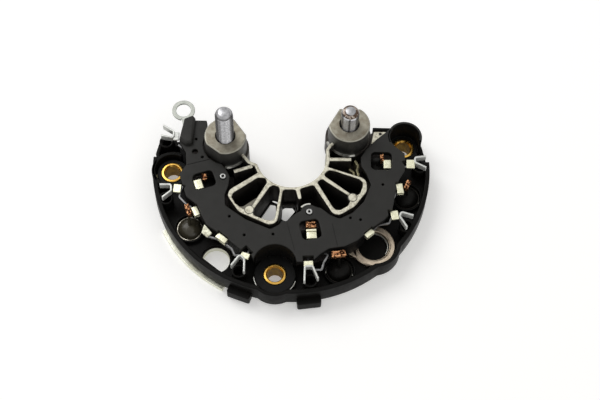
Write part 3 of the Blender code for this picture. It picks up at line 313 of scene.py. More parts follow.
@dataclass
class Mold:
    """Collects closed shells in millimetres about the shaft axis, and casts them as one piece."""

    spots: list[Spot] = field(default_factory=list)
    faces: list[tuple[int, ...]] = field(default_factory=list)
    paints: list[int] = field(default_factory=list)

    def slab(
        self,
        outline: Sequence[Point],
        levels: Sequence[Level],
        holes: Iterable[Sequence[Point]] = (),
        paint: int = 0,
        lid: int | None = None,
    ) -> None:
        """Adds a flat shape with vertical or softened sides.

        Args:
            outline: Its outer edge.
            levels: (height, inset) from the bottom up.
            holes: Edges of the holes through it.
            paint: Index of the finish.
            lid: Index of the finish of its upper face, where that differs.
        """
        loops = [clean_loop(outline, True)] + [clean_loop(hole, False) for hole in holes]
        rings: list[list[int]] = []
        for height, inset in levels:
            for loop in loops:
                start = len(self.spots)
                self.spots += [(x, y, height) for x, y in inset_loop(loop, inset)]
                rings.append(list(range(start, start + len(loop))))
        for level in range(len(levels) - 1):
            for index in range(len(loops)):
                lower = rings[level * len(loops) + index]
                upper = rings[(level + 1) * len(loops) + index]
                for i in range(len(lower)):
                    j = (i + 1) % len(lower)
                    self._face((lower[i], lower[j], upper[j], upper[i]), paint)
        for level, flip in ((0, True), (len(levels) - 1, False)):
            members = rings[level * len(loops) : (level + 1) * len(loops)]
            flat = [index for ring in members for index in ring]
            outlines = [[Vector(self.spots[index]) for index in ring] for ring in members]
            for triple in tessellate_polygon(outlines):
                a, b, c = (flat[i] for i in triple)
                pa, pb, pc = self.spots[a], self.spots[b], self.spots[c]
                turn = (pb[0] - pa[0]) * (pc[1] - pa[1]) - (pb[1] - pa[1]) * (pc[0] - pa[0])
                if abs(turn) < 1e-12:
                    continue
                face = (a, b, c) if (turn > 0) != flip else (a, c, b)
                self._face(face, paint if flip or lid is None else lid)

    def lathe(
        self, profile: Sequence[Level], center: Point, steps: int = 48, paint: int = 0, phase: float = 0.0
    ) -> None:
        """Adds a turned shape: the profile runs down its outer side, as (radius, height).

        Args:
            profile: Points as (radius, height).
            center: The axis in plan.
            steps: Number of sides.
            paint: Material slot.
            phase: Angle of the first side, in degrees.
        """
        ring_of: list[list[int]] = []
        closed = profile[0] == profile[-1]
        for radius, height in profile[:-1] if closed else profile:
            start = len(self.spots)
            if radius < 1e-6:
                self.spots.append((center[0], center[1], height))
                ring_of.append([start])
                continue
            for i in range(steps):
                x, y = polar(radius, phase + 360.0 * i / steps, center)
                self.spots.append((x, y, height))
            ring_of.append(list(range(start, start + steps)))
        if closed:
            ring_of.append(ring_of[0])
        for upper, lower in zip(ring_of, ring_of[1:]):
            if len(upper) == len(lower) == 1:
                continue
            for i in range(steps):
                j = (i + 1) % steps
                if len(upper) == 1:
                    self._face((lower[i], lower[j], upper[0]), paint)
                elif len(lower) == 1:
                    self._face((lower[0], upper[j], upper[i]), paint)
                else:
                    self._face((lower[i], lower[j], upper[j], upper[i]), paint)

    def wire(self, path: Sequence[Spot], radius: float, sides: int = 10, paint: int = 0) -> None:
        """Adds a round wire with flat ends along a path.

        Args:
            path: Middle line in space.
            radius: Radius of the wire.
            sides: Number of sides.
            paint: Material slot.
        """
        points = [Vector(spot) for spot in path]
        rings: list[list[int]] = []
        across = Vector((1.0, 0.0, 0.0))
        for i, point in enumerate(points):
            along = (points[min(i + 1, len(points) - 1)] - points[max(i - 1, 0)]).normalized()
            across = (across - along * across.dot(along)).normalized()
            other = along.cross(across)
            start = len(self.spots)
            for k in range(sides):
                turn = math.tau * k / sides
                self.spots.append(tuple(point + (across * math.cos(turn) + other * math.sin(turn)) * radius))
            rings.append(list(range(start, start + sides)))
        for near, far in zip(rings, rings[1:]):
            for i in range(sides):
                j = (i + 1) % sides
                self._face((near[i], near[j], far[j], far[i]), paint)
        self._face(tuple(reversed(rings[0])), paint)
        self._face(tuple(rings[-1]), paint)

    def absorb(self, mesh: Mesh, paint: int = 0) -> None:
        """Takes over a mesh in millimetres, such as what a node tree made, and removes it.

        Args:
            mesh: The mesh.
            paint: Material slot.
        """
        start = len(self.spots)
        self.spots += [tuple(vertex.co) for vertex in mesh.vertices]
        for polygon in mesh.polygons:
            self._face(tuple(start + index for index in polygon.vertices), paint)
        bpy.data.meshes.remove(mesh)

    def lean(self, since: int, pivot: Spot, tilt: float, heading: float) -> None:
        """Tilts what was added since a given spot about a level axis through a pivot.

        Args:
            since: Number of spots that stay as they are.
            pivot: Point that the axis runs through.
            tilt: Angle, in degrees.
            heading: Bearing that the tilt leans towards, in degrees.
        """
        axis = Vector((-math.sin(math.radians(heading)), math.cos(math.radians(heading)), 0.0))
        turn = Matrix.Rotation(math.radians(tilt), 3, axis)
        base = Vector(pivot)
        for i in range(since, len(self.spots)):
            self.spots[i] = tuple(base + turn @ (Vector(self.spots[i]) - base))

    def repaint(self, since: int, rule: Callable[[Vector, Vector], int]) -> None:
        """Gives each face added since a given one the finish that suits its place.

        Args:
            since: Number of faces that stay as they are.
            rule: Finish index for a face's middle and its normal.
        """
        for number in range(since, len(self.faces)):
            corners = [Vector(self.spots[index]) for index in self.faces[number]]
            middle = sum(corners, Vector()) / len(corners)
            facing = (corners[1] - corners[0]).cross(corners[2] - corners[1]).normalized()
            self.paints[number] = rule(middle, facing)

    def cast(self, name: str, finishes: Sequence[Material], crease: float = 32.0) -> Piece:
        """Makes the object, in metres in the row frame, at the origin.

        Args:
            name: Name of the piece.
            finishes: Its materials, in the order of the paints.
            crease: Angle above which an edge stays sharp, in degrees.

        Returns:
            The new object, linked to the scene.
        """
        mesh = bpy.data.meshes.new(name)
        shift_x, shift_y = SHAFT_AXIS
        spots = [((x + shift_x) * MM, (y + shift_y) * MM, z * MM) for x, y, z in self.spots]
        mesh.from_pydata(spots, [], self.faces)
        mesh.polygons.foreach_set("material_index", [int(paint) for paint in self.paints])
        for finish in finishes:
            mesh.materials.append(finish)
        shape = bmesh.new()
        shape.from_mesh(mesh)
        bmesh.ops.remove_doubles(shape, verts=shape.verts, dist=2e-7)
        bmesh.ops.recalc_face_normals(shape, faces=shape.faces)
        shape.to_mesh(mesh)
        shape.free()
        mesh.shade_smooth()
        mesh.set_sharp_from_angle(angle=math.radians(crease))
        piece = bpy.data.objects.new(name, mesh)
        bpy.context.scene.collection.objects.link(piece)
        return piece

    def _face(self, face: tuple[int, ...], paint: int) -> None:
        """Keeps one face and its finish."""
        self.faces.append(face)
        self.paints.append(paint)


def carve(piece: Piece, cutters: Sequence[Piece], crease: float = 32.0) -> None:
    """Cuts the cutters from a piece, removes them and shades the result.

    Args:
        piece: Object that is cut.
        cutters: Closed shapes to take away.
        crease: Angle above which an edge stays sharp, in degrees.
    """
    for cutter in cutters:
        boolean = piece.modifiers.new("Cut", "BOOLEAN")
        boolean.operation = "DIFFERENCE"
        boolean.solver = "EXACT"
        boolean.object = cutter
    graph = bpy.context.evaluated_depsgraph_get()
    mesh = bpy.data.meshes.new_from_object(piece.evaluated_get(graph))
    piece.modifiers.clear()
    old = piece.data
    mesh.name = old.name
    piece.data = mesh
    bpy.data.meshes.remove(old)
    for cutter in cutters:
        bpy.data.objects.remove(cutter, do_unlink=True)
    mesh.shade_smooth()
    mesh.set_sharp_from_angle(angle=math.radians(crease))


# Node trees for what repeats or follows a path


class Board:
    """Places nodes on a tree from left to right and links them."""

    def __init__(self, tree: Tree) -> None:
        """Starts on an empty or existing tree."""
        self.tree = tree
        self.count = 0

    def add(self, kind: str, values: dict[int | str, object] | None = None, **settings: object) -> Node:
        """Adds a node.

        Args:
            kind: Node type.
            values: Input values, or sockets to link, by input name or index.
            **settings: Properties of the node.

        Returns:
            The node.
        """
        node = self.tree.nodes.new(kind)
        node.location = (180.0 * self.count, -40.0 * (self.count % 5))
        self.count += 1
        for name, value in settings.items():
            setattr(node, name, value)
        for key, value in (values or {}).items():
            socket = node.inputs[key]
            if isinstance(value, Socket):
                self.tree.links.new(value, socket)
            else:
                socket.default_value = value
        return node

    def math(self, operation: str, first: object, second: object = 0.0, third: object = 0.0) -> Socket:
        """The result of one sum."""
        node = self.add("ShaderNodeMath", {0: first, 1: second, 2: third}, operation=operation)
        return node.outputs[0]


def new_tree(name: str, inputs: dict[str, str]) -> tuple[Tree, Board, Node]:
    """A geometry tree with a geometry input and output and named size inputs.

    Args:
        name: Name of the tree.
        inputs: Socket type of each named input.

    Returns:
        The tree, its board and its group input node.
    """
    tree = bpy.data.node_groups.new(name, "GeometryNodeTree")
    tree.interface.new_socket("Geometry", in_out="INPUT", socket_type="NodeSocketGeometry")
    for label, kind in inputs.items():
        tree.interface.new_socket(label, in_out="INPUT", socket_type=kind)
    tree.interface.new_socket("Geometry", in_out="OUTPUT", socket_type="NodeSocketGeometry")
    board = Board(tree)
    return tree, board, board.add("NodeGroupInput")


def end_tree(board: Board, geometry: Socket, start: Node) -> None:
    """Ends a tree in Realize Instances and Set Material.

    Args:
        board: Writes the tree.
        geometry: The finished geometry.
        start: Holds the Finish input.
    """
    real = board.add("GeometryNodeRealizeInstances", {0: geometry})
    finish = board.add(
        "GeometryNodeSetMaterial", {"Geometry": real.outputs[0], "Material": start.outputs["Material"]}
    )
    board.add("NodeGroupOutput", {0: finish.outputs[0]})


def rounded_section(board: Board, width: object, height: object, edge: object) -> Socket:
    """A rectangle section with rounded corners, as a curve.

    Args:
        board: Writes the tree.
        width: Width of the section.
        height: Height of the section.
        edge: Radius of its corners.

    Returns:
        The closed curve.
    """
    box = board.add(
        "GeometryNodeCurvePrimitiveQuadrilateral", {"Width": width, "Height": height}, mode="RECTANGLE"
    )
    rules = {"Curve": box.outputs[0], "Radius": edge, "Count": 3, "Limit Radius": True}
    return board.add("GeometryNodeFilletCurve", rules, mode="POLY").outputs[0]


def strip_tree() -> Tree:
    """Bends a strip of rectangular section along paths, such as fins, walls and clips.

    Returns:
        The node tree.
    """
    sizes = {"Width": "NodeSocketFloat", "Height": "NodeSocketFloat", "Bend": "NodeSocketFloat"}
    sizes |= {"Edge": "NodeSocketFloat", "Material": "NodeSocketMaterial"}
    tree, board, start = new_tree("bent_strip", sizes)
    path = board.add("GeometryNodeMeshToCurve", {0: start.outputs["Geometry"]})
    rules = {"Curve": path.outputs[0], "Radius": start.outputs["Bend"], "Count": 7, "Limit Radius": True}
    bend = board.add("GeometryNodeFilletCurve", rules, mode="POLY")
    level = board.add("GeometryNodeSetCurveNormal", {0: bend.outputs[0]}, mode="Z_UP")
    section = rounded_section(board, start.outputs["Width"], start.outputs["Height"], start.outputs["Edge"])
    body = board.add(
        "GeometryNodeCurveToMesh", {"Curve": level.outputs[0], "Profile Curve": section, "Fill Caps": True}
    )
    end_tree(board, body.outputs[0], start)
    return tree


def ring_tree() -> Tree:
    """Stands a ring of rectangular section on each given point, such as tubes and rivet heads.

    Returns:
        The node tree.
    """
    sizes = {"Radius": "NodeSocketFloat", "Wall": "NodeSocketFloat", "Height": "NodeSocketFloat"}
    sizes |= {"Edge": "NodeSocketFloat", "Material": "NodeSocketMaterial"}
    tree, board, start = new_tree("rings_on_points", sizes)
    middle = board.math("SUBTRACT", start.outputs["Radius"], board.math("DIVIDE", start.outputs["Wall"], 2.0))
    path = board.add("GeometryNodeCurvePrimitiveCircle", {"Resolution": 32, "Radius": middle}, mode="RADIUS")
    section = rounded_section(board, start.outputs["Wall"], start.outputs["Height"], start.outputs["Edge"])
    ring = board.add("GeometryNodeCurveToMesh", {"Curve": path.outputs[0], "Profile Curve": section})
    copies = board.add(
        "GeometryNodeInstanceOnPoints", {"Points": start.outputs["Geometry"], "Instance": ring.outputs[0]}
    )
    end_tree(board, copies.outputs[0], start)
    return tree


def thread_tree() -> Tree:
    """Rolls a thread on a round bar: a sheet wrapped round an axis, its radius following the helix.

    Returns:
        The node tree.
    """
    sizes = {
        label: "NodeSocketFloat"
        for label in ("Radius", "Depth", "Pitch", "Bottom", "Top", "Lead in", "Run out")
    }
    sizes["Material"] = "NodeSocketMaterial"
    tree, board, start = new_tree("rolled_thread", sizes)
    get = start.outputs
    length = board.math("SUBTRACT", get["Top"], get["Bottom"])
    rows = board.math("CEIL", board.math("MULTIPLY", length, 9.0))
    sheet = board.add(
        "GeometryNodeMeshGrid", {"Size X": math.tau, "Size Y": length, "Vertices X": 57, "Vertices Y": rows}
    )
    place = board.add("ShaderNodeSeparateXYZ", {0: board.add("GeometryNodeInputPosition").outputs[0]})
    along, up = place.outputs[0], place.outputs[1]
    height = board.math("ADD", board.math("ADD", get["Bottom"], board.math("DIVIDE", length, 2.0)), up)
    turns = board.math(
        "SUBTRACT", board.math("DIVIDE", height, get["Pitch"]), board.math("DIVIDE", along, math.tau)
    )
    wave = board.math("PINGPONG", turns, 0.5)
    groove = board.math(
        "MINIMUM", board.math("MAXIMUM", board.math("MULTIPLY_ADD", wave, 2.6, -0.3), 0.0), 1.0
    )
    below_top = board.math("DIVIDE", board.math("SUBTRACT", get["Top"], height), get["Lead in"])
    above_foot = board.math("DIVIDE", board.math("SUBTRACT", height, get["Run out"]), get["Pitch"])
    fade = board.math("MINIMUM", board.math("MAXIMUM", above_foot, 0.0), 1.0)
    cut = board.math("MULTIPLY", board.math("MULTIPLY", groove, fade), get["Depth"])
    taper = board.math("SUBTRACT", 1.0, board.math("MINIMUM", board.math("MAXIMUM", below_top, 0.0), 1.0))
    radius = board.math(
        "SUBTRACT", board.math("SUBTRACT", get["Radius"], cut), board.math("MULTIPLY", taper, get["Depth"])
    )
    edge = board.math("SUBTRACT", board.math("DIVIDE", length, 2.0), board.math("ABSOLUTE", up))
    inside = board.math("GREATER_THAN", edge, 0.01)
    reach = board.math("MULTIPLY", radius, inside)
    x = board.math("MULTIPLY", reach, board.math("COSINE", along))
    y = board.math("MULTIPLY", reach, board.math("SINE", along))
    spot = board.add("ShaderNodeCombineXYZ", {0: x, 1: y, 2: height})
    rolled = board.add("GeometryNodeSetPosition", {"Geometry": sheet.outputs[0], "Position": spot.outputs[0]})
    welded = board.add("GeometryNodeMergeByDistance", {"Geometry": rolled.outputs[0], "Distance": 0.002})
    end_tree(board, welded.outputs[0], start)
    return tree


class Press:
    """Runs a node tree on paths or points and hands back a plain mesh in millimetres."""

    def __init__(self) -> None:
        """Builds the trees once."""
        self.trees = {"strip": strip_tree(), "ring": ring_tree(), "thread": thread_tree()}

    def run(
        self, tree: str, paths: Sequence[Sequence[Spot]], sizes: dict[str, float], finish: Material
    ) -> Mesh:
        """Makes the shape.

        Args:
            tree: Which tree.
            paths: Open paths, or single points.
            sizes: Value of each named input, in millimetres.
            finish: Material that the tree sets.

        Returns:
            The evaluated mesh.
        """
        spots: list[Spot] = []
        edges: list[tuple[int, int]] = []
        for path in paths:
            start = len(spots)
            spots += path
            edges += [(start + i, start + i + 1) for i in range(len(path) - 1)]
        mesh = bpy.data.meshes.new("paths")
        mesh.from_pydata(spots, edges, [])
        carrier = bpy.data.objects.new("paths", mesh)
        bpy.context.scene.collection.objects.link(carrier)
        modifier = carrier.modifiers.new("Tree", "NODES")
        modifier.node_group = self.trees[tree]
        for item in modifier.node_group.interface.items_tree:
            if item.in_out == "INPUT" and item.name in sizes:
                modifier[item.identifier] = float(sizes[item.name])
            if item.in_out == "INPUT" and item.name == "Material":
                modifier[item.identifier] = finish
        graph = bpy.context.evaluated_depsgraph_get()
        made = bpy.data.meshes.new_from_object(carrier.evaluated_get(graph))
        bpy.data.objects.remove(carrier, do_unlink=True)
        bpy.data.meshes.remove(mesh)
        return made

    def strip(
        self, paths: Sequence[Sequence[Point]], bottom: float, top: float, width: float, bend: float,
        edge: float, finish: Material
    ) -> Mesh:
        """A strip standing on edge along plane paths, between two heights.

        Args:
            paths: Paths in plan.
            bottom: Lower edge.
            top: Upper edge.
            width: Thickness.
            bend: Radius of the bends.
            edge: Radius of the edges.
            finish: Material.

        Returns:
            The mesh.
        """
        middle = (bottom + top) / 2
        spots = [[(x, y, middle) for x, y in path] for path in paths]
        sizes = {"Width": width, "Height": top - bottom, "Bend": bend, "Edge": edge}
        return self.run("strip", spots, sizes, finish)

    def rings(
        self, centers: Sequence[Point], bottom: float, top: float, radius: float, wall: float, edge: float,
        finish: Material
    ) -> Mesh:
        """A ring at each centre, between two heights.

        Args:
            centers: Centres in plan.
            bottom: Lower edge.
            top: Upper edge.
            radius: Outer radius.
            wall: Thickness.
            edge: Radius of the edges.
            finish: Material.

        Returns:
            The mesh.
        """
        middle = (bottom + top) / 2
        sizes = {"Radius": radius, "Wall": wall, "Height": top - bottom, "Edge": edge}
        return self.run("ring", [[(x, y, middle)] for x, y in centers], sizes, finish)


# Finishes


class Grain(Enum):
    """Surface relief of a finish."""

    CAST = "cast"
    MOULDED = "moulded"
    TURNED = "turned"
    ROLLED = "rolled"
    SMOOTH = "smooth"


@dataclass(frozen=True)
class Finish:
    """A procedural surface.

    Attributes:
        name: Name of the material.
        color: Its main colour, as linear red, green and blue.
        second: Colour of its blotches.
        roughness: Mean roughness.
        spread: How far the roughness wanders.
        metallic: 1 for bare metal.
        grain: Kind of relief.
        relief: Strength of the relief.
        blotch: Size of the blotches, in millimetres.
        mix: How much of the second colour shows.
        shade_and_grime: Colour of the painted shade and dirt that darken low places, or None.
        shade_and_grime_levels: Heights between which the painted shade and dirt fade out, in millimetres.
        center: Axis of a turned face.
        shine: Specular level of a surface that isn't metal.
        hard: Noise levels between which the second colour comes in.
        reflection_bands: Painted reflections: how dark the turned side is at each bearing about the center,
            in degrees.
        groove: Radii between which a thread goes dark with painted shade, in millimetres.
    """

    name: str
    color: Color
    second: Color
    roughness: float
    spread: float = 0.1
    metallic: float = 0.0
    grain: Grain = Grain.SMOOTH
    relief: float = 0.1
    blotch: float = 6.0
    mix: float = 0.5
    shade_and_grime: Color | None = None
    shade_and_grime_levels: Span = (8.0, 19.0)
    center: Point = AXIS
    shine: float = 0.3
    hard: Span = (0.38, 0.66)
    reflection_bands: tuple[Span, ...] = ()
    groove: Span = (0.0, 0.0)

    def material(self) -> Material:
        """Builds the material, once for each name.

        Returns:
            The material.
        """
        known = bpy.data.materials.get(self.name)
        if known:
            return known
        material = bpy.data.materials.new(self.name)
        material.use_nodes = True
        tree = material.node_tree
        shader = tree.nodes["Principled BSDF"]
        board = Board(tree)
        place = board.add("ShaderNodeTexCoord").outputs["Object"]
        blotches = self._noise(board, place, self.blotch, 4.0, 0.6)
        low, high = self.hard
        ramp = board.add(
            "ShaderNodeMapRange", {"Value": blotches, "From Min": low, "From Max": high, "To Max": self.mix}
        )
        color = self._blend(board, ramp.outputs[0], (*self.color, 1.0), (*self.second, 1.0))
        # Painted shade and dirt, darker towards the bottom
        if self.shade_and_grime:
            color = self._darken_low_places(board, place, color)
        # Painted reflections, and painted shade in the thread
        if self.reflection_bands:
            color = self._paint_reflections(board, place, color)
        tree.links.new(color, shader.inputs["Base Color"])
        wander = self._noise(board, place, self.blotch * 0.45, 3.0, 0.55)
        rough = board.add(
            "ShaderNodeMapRange",
            {
                "Value": wander, "From Min": 0.3, "From Max": 0.7, "To Min": self.roughness - self.spread,
                "To Max": self.roughness + self.spread
            },
        )
        tree.links.new(rough.outputs[0], shader.inputs["Roughness"])
        shader.inputs["Metallic"].default_value = self.metallic
        shader.inputs["Specular IOR Level"].default_value = self.shine
        height = self._relief(board, place)
        if height:
            bump = board.add(
                "ShaderNodeBump", {"Height": height, "Strength": self.relief, "Distance": 0.0002}
            )
            tree.links.new(bump.outputs[0], shader.inputs["Normal"])
        return material

    def _noise(self, board: Board, place: Socket, size: float, detail: float, rough: float) -> Socket:
        """Noise whose features measure about this many millimetres."""
        node = board.add(
            "ShaderNodeTexNoise",
            {"Vector": place, "Scale": 1000.0 / size, "Detail": detail, "Roughness": rough}
        )
        return node.outputs["Fac"]

    def _blend(self, board: Board, factor: object, first: object, second: object) -> Socket:
        """A mix of two colours.

        Args:
            board: Writes the tree.
            factor: Share of the second colour.
            first: First colour.
            second: Second colour.

        Returns:
            The mixed colour.
        """
        node = board.add("ShaderNodeMix", {"Factor": factor}, data_type="RGBA")
        for socket, value in ((node.inputs[6], first), (node.inputs[7], second)):
            if isinstance(value, Socket):
                board.tree.links.new(value, socket)
            else:
                socket.default_value = value
        return node.outputs[2]

    def _darken_low_places(self, board: Board, place: Socket, color: Socket) -> Socket:
        """Darkens low places with painted shade and dirt.

        Args:
            board: Writes the tree.
            place: Object coordinates.
            color: Clean colour.

        Returns:
            The colour with painted shade and dirt.
        """
        height = board.add("ShaderNodeSeparateXYZ", {0: place}).outputs[2]
        low, high = self.shade_and_grime_levels
        ramp = board.add(
            "ShaderNodeMapRange",
            {"Value": height, "From Min": low * MM, "From Max": high * MM, "To Min": 1.0, "To Max": 0.0}
        )
        specks = self._noise(board, place, 1.8, 4.0, 0.65)
        share = board.math("MULTIPLY", ramp.outputs[0], board.math("MULTIPLY_ADD", specks, 0.7, 0.55))
        share = board.math("MINIMUM", share, 1.0)
        return self._blend(board, share, color, (*self.shade_and_grime, 1.0))

    def _from_center(self, board: Board, place: Socket) -> Socket:
        """The place as seen from the centre, in the plane.

        Args:
            board: Writes the tree.
            place: Object coordinates.

        Returns:
            The vector from the centre.
        """
        x, y = self.center
        moved = board.add(
            "ShaderNodeVectorMath", {0: place, 1: ((x + SHAFT_AXIS[0]) * MM, (y + SHAFT_AXIS[1]) * MM, 0.0)},
            operation="SUBTRACT"
        )
        return board.add(
            "ShaderNodeVectorMath", {0: moved.outputs[0], 1: (1.0, 1.0, 0.0)}, operation="MULTIPLY"
        ).outputs[0]

    def _paint_reflections(self, board: Board, place: Socket, color: Socket) -> Socket:
        """Painted reflections as dark stripes along a stud, and painted shade in the grooves of its thread.

        Args:
            board: Writes the tree.
            place: Object coordinates.
            color: Clean colour.

        Returns:
            The colour with painted reflections and painted shade.
        """
        flat = self._from_center(board, place)
        parts = board.add("ShaderNodeSeparateXYZ", {0: flat})
        turn = board.math("DIVIDE", board.math("ARCTAN2", parts.outputs[1], parts.outputs[0]), math.tau)
        wobble = board.math("MULTIPLY_ADD", self._noise(board, place, 1.6, 2.0, 0.5), 0.03, -0.015)
        ramp = board.add("ShaderNodeValToRGB", {0: board.math("FRACT", board.math("ADD", turn, wobble))})
        stops = ramp.color_ramp.elements
        for bearing, dark in self.reflection_bands:
            stop = stops.new(bearing / 360.0)
            stop.color = (dark, dark, dark, 1.0)
        radius = board.add("ShaderNodeVectorMath", {0: flat}, operation="LENGTH").outputs["Value"]
        low, high = self.groove
        rules = {"Value": radius, "From Min": low * MM, "From Max": high * MM, "To Min": 0.93, "To Max": 0.0}
        groove_shade = board.add("ShaderNodeMapRange", rules).outputs[0] if high > 0.0 else 0.0
        share = board.math("MAXIMUM", ramp.outputs[0], groove_shade)
        # Dark colour of the painted reflections and of the shade in the grooves
        return self._blend(board, share, color, (0.035, 0.033, 0.032, 1.0))

    def _relief(self, board: Board, place: Socket) -> Socket | None:
        """The height field of the grain.

        Args:
            board: Writes the tree.
            place: Object coordinates.

        Returns:
            The height, or None for a smooth finish.
        """
        if self.grain is Grain.SMOOTH:
            return self._noise(board, place, 1.2, 2.0, 0.5)
        if self.grain is Grain.CAST:
            coarse = self._noise(board, place, 1.1, 3.0, 0.6)
            fine = self._noise(board, place, 0.35, 2.0, 0.6)
            return board.math("MULTIPLY_ADD", coarse, 0.6, fine)
        if self.grain is Grain.MOULDED:
            return self._noise(board, place, 0.22, 2.0, 0.6)
        if self.grain is Grain.ROLLED:
            stretch = board.add("ShaderNodeMapping", {"Vector": place, "Scale": (0.12, 1.0, 1.0)})
            return self._noise(board, stretch.outputs[0], 0.3, 3.0, 0.6)
        radius = board.add(
            "ShaderNodeVectorMath", {0: self._from_center(board, place)}, operation="LENGTH"
        ).outputs["Value"]
        rings = board.math("SINE", board.math("MULTIPLY", radius, math.tau / (0.28 * MM)))
        return board.math("MULTIPLY_ADD", self._noise(board, place, 0.5, 2.0, 0.5), 2.0, rings)


CAST_ALUMINIUM = Finish(
    "machined_casting", (0.50, 0.480, 0.395), (0.27, 0.250, 0.195), 0.44, 0.08, 1.0, Grain.CAST, 0.8, 1.2,
    0.9, hard=(0.46, 0.64)
)
# Painted shade: the casting darkened where it lies in shade, on walls, pocket sides and the plate
CAST_SHADE = Finish(
    "cast_aluminium_painted_shade", (0.060, 0.054, 0.047), (0.034, 0.029, 0.026), 0.46, 0.08, 0.7, Grain.CAST, 0.5,
    4.0, 0.8, (0.016, 0.013, 0.012), (9.0, 20.0)
)
# Painted shade: a darker copy of the casting for the boss sides and the pad grooves
SHADED_BOSS_SIDE = Finish(
    "boss_side_aluminium_painted_shade", (0.105, 0.102, 0.096), (0.062, 0.060, 0.055), 0.46, 0.08, 0.7, Grain.CAST, 0.35,
    5.0, 0.6, (0.022, 0.021, 0.019), (15.0, 24.5)
)
BOSS_RIM = Finish(
    "boss_rim_aluminium", (0.30, 0.29, 0.25), (0.20, 0.19, 0.15), 0.42, 0.08, 1.0, Grain.CAST, 0.3, 2.4, 0.7
)
YELLOWED = Finish(
    "cast_aluminium_yellowed", (0.40, 0.37, 0.22), (0.20, 0.17, 0.10), 0.45, 0.08, 0.9, Grain.CAST, 0.6, 1.8,
    0.8
)
RING_ALUMINIUM = Finish(
    "ring_lug_aluminium", (0.52, 0.44, 0.34), (0.36, 0.29, 0.22), 0.40, 0.08, 1.0, Grain.CAST, 0.4, 2.2, 0.7
)
# Painted highlight: aluminium edges where the light catches them
HIGHLIGHT_ALUMINIUM = Finish(
    "aluminium_painted_highlight", (0.56, 0.56, 0.52), (0.40, 0.39, 0.34), 0.34, 0.08, 1.0, Grain.CAST, 0.2, 2.0, 0.6
)
# Painted shade: the sheet darkened on its top faces, which lie under the frame
SHADED_SHEET = Finish(
    "sheet_aluminium_painted_shade", (0.030, 0.028, 0.024), (0.016, 0.014, 0.012), 0.5, 0.08, 0.6, Grain.ROLLED, 0.2,
    5.0, 0.6
)
SHEET_ALUMINIUM = Finish(
    "rolled_sheet_aluminium", (0.76, 0.76, 0.65), (0.60, 0.59, 0.45), 0.38, 0.1, 1.0, Grain.ROLLED, 0.2, 5.0,
    0.6
)
CARRIER_BLACK = Finish(
    "carrier_black", (0.0150, 0.0145, 0.0130), (0.0210, 0.0205, 0.0185), 0.52, 0.05, 0.0, Grain.MOULDED, 0.14,
    9.0, 0.6, shine=0.22
)
# Painted shade: a darker copy of the carrier black for its sides, skirts and well walls
CARRIER_SHADE = Finish(
    "carrier_black_painted_shade", (0.0050, 0.0050, 0.0048), (0.0080, 0.0075, 0.0070), 0.50, 0.06, 0.0, Grain.MOULDED,
    0.12, 6.0, 0.6, shine=0.06
)
FRAME_BLACK = Finish(
    "frame_black", (0.0040, 0.0038, 0.0034), (0.0070, 0.0064, 0.0056), 0.38, 0.08, 0.0, Grain.MOULDED, 0.10,
    7.0, 0.6, shine=0.07
)
SLEEVE_BLACK = Finish(
    "sleeve_black", (0.0045, 0.0045, 0.0043), (0.0075, 0.0075, 0.0070), 0.42, 0.08, 0.0, Grain.MOULDED, 0.12,
    5.0, 0.5, shine=0.10
)
BRASS = Finish(
    "bush_brass", (0.68, 0.42, 0.10), (0.50, 0.27, 0.045), 0.24, 0.06, 1.0, Grain.SMOOTH, 0.04, 4.5, 0.6
)
# Brass of the bores, dulled, and darkened with painted shade
SHADED_BORE_BRASS = Finish(
    "bush_bore_brass_painted_shade", (0.44, 0.290, 0.045), (0.20, 0.110, 0.014), 0.50, 0.08, 0.35, Grain.SMOOTH, 0.1, 3.0,
    0.8, shine=0.2
)
ZINC = Finish(
    "stud_tip_zinc", (0.40, 0.40, 0.41), (0.22, 0.22, 0.23), 0.34, 0.06, 1.0, Grain.SMOOTH, 0.2, 1.6, 0.8
)
# Painted shade: a dimmer copy of the casting for the web deep in a pocket
WEB_TONE = Finish(
    "cast_aluminium_shaded", (0.20, 0.185, 0.15), (0.12, 0.11, 0.09), 0.5, 0.08, 0.6, Grain.CAST, 0.5, 2.0,
    0.8
)
RIVET_ZINC = Finish(
    "rivet_zinc", (0.42, 0.42, 0.41), (0.20, 0.20, 0.19), 0.34, 0.06, 1.0, Grain.SMOOTH, 0.2, 1.0, 0.8
)
WORN_ZINC = Finish(
    "short_stud_thread_end", (0.34, 0.29, 0.25), (0.060, 0.036, 0.024), 0.28, 0.06, 1.0, Grain.CAST, 0.6, 1.3,
    0.95, hard=(0.44, 0.52)
)
EYELET_ZINC = Finish(
    "eyelet_zinc", (0.36, 0.37, 0.34), (0.26, 0.27, 0.245), 0.42, 0.06, 1.0, Grain.ROLLED, 0.2, 1.6, 0.7
)
TINNED = Finish(
    "tinned_strip", (0.79, 0.78, 0.60), (0.56, 0.54, 0.36), 0.32, 0.08, 0.8, Grain.SMOOTH, 0.3, 1.2, 0.7
)
BAR_GREY = Finish(
    "tinned_strip_dull", (0.19, 0.19, 0.19), (0.08, 0.08, 0.08), 0.34, 0.08, 1.0, Grain.SMOOTH, 0.3, 2.2, 0.8
)
TARNISHED_TIN = Finish(
    "tinned_leaf", (0.44, 0.44, 0.35), (0.20, 0.19, 0.14), 0.34, 0.08, 0.8, Grain.SMOOTH, 0.3, 1.4, 0.8
)
CLIP_TIN = Finish(
    "clip_tin", (0.62, 0.63, 0.60), (0.42, 0.42, 0.40), 0.34, 0.08, 0.45, Grain.SMOOTH, 0.25, 1.8, 0.6
)
COPPER = Finish(
    "welded_copper", (0.58, 0.29, 0.14), (0.030, 0.010, 0.005), 0.36, 0.1, 1.0, Grain.CAST, 1.0, 1.1, 1.0,
    hard=(0.46, 0.53)
)
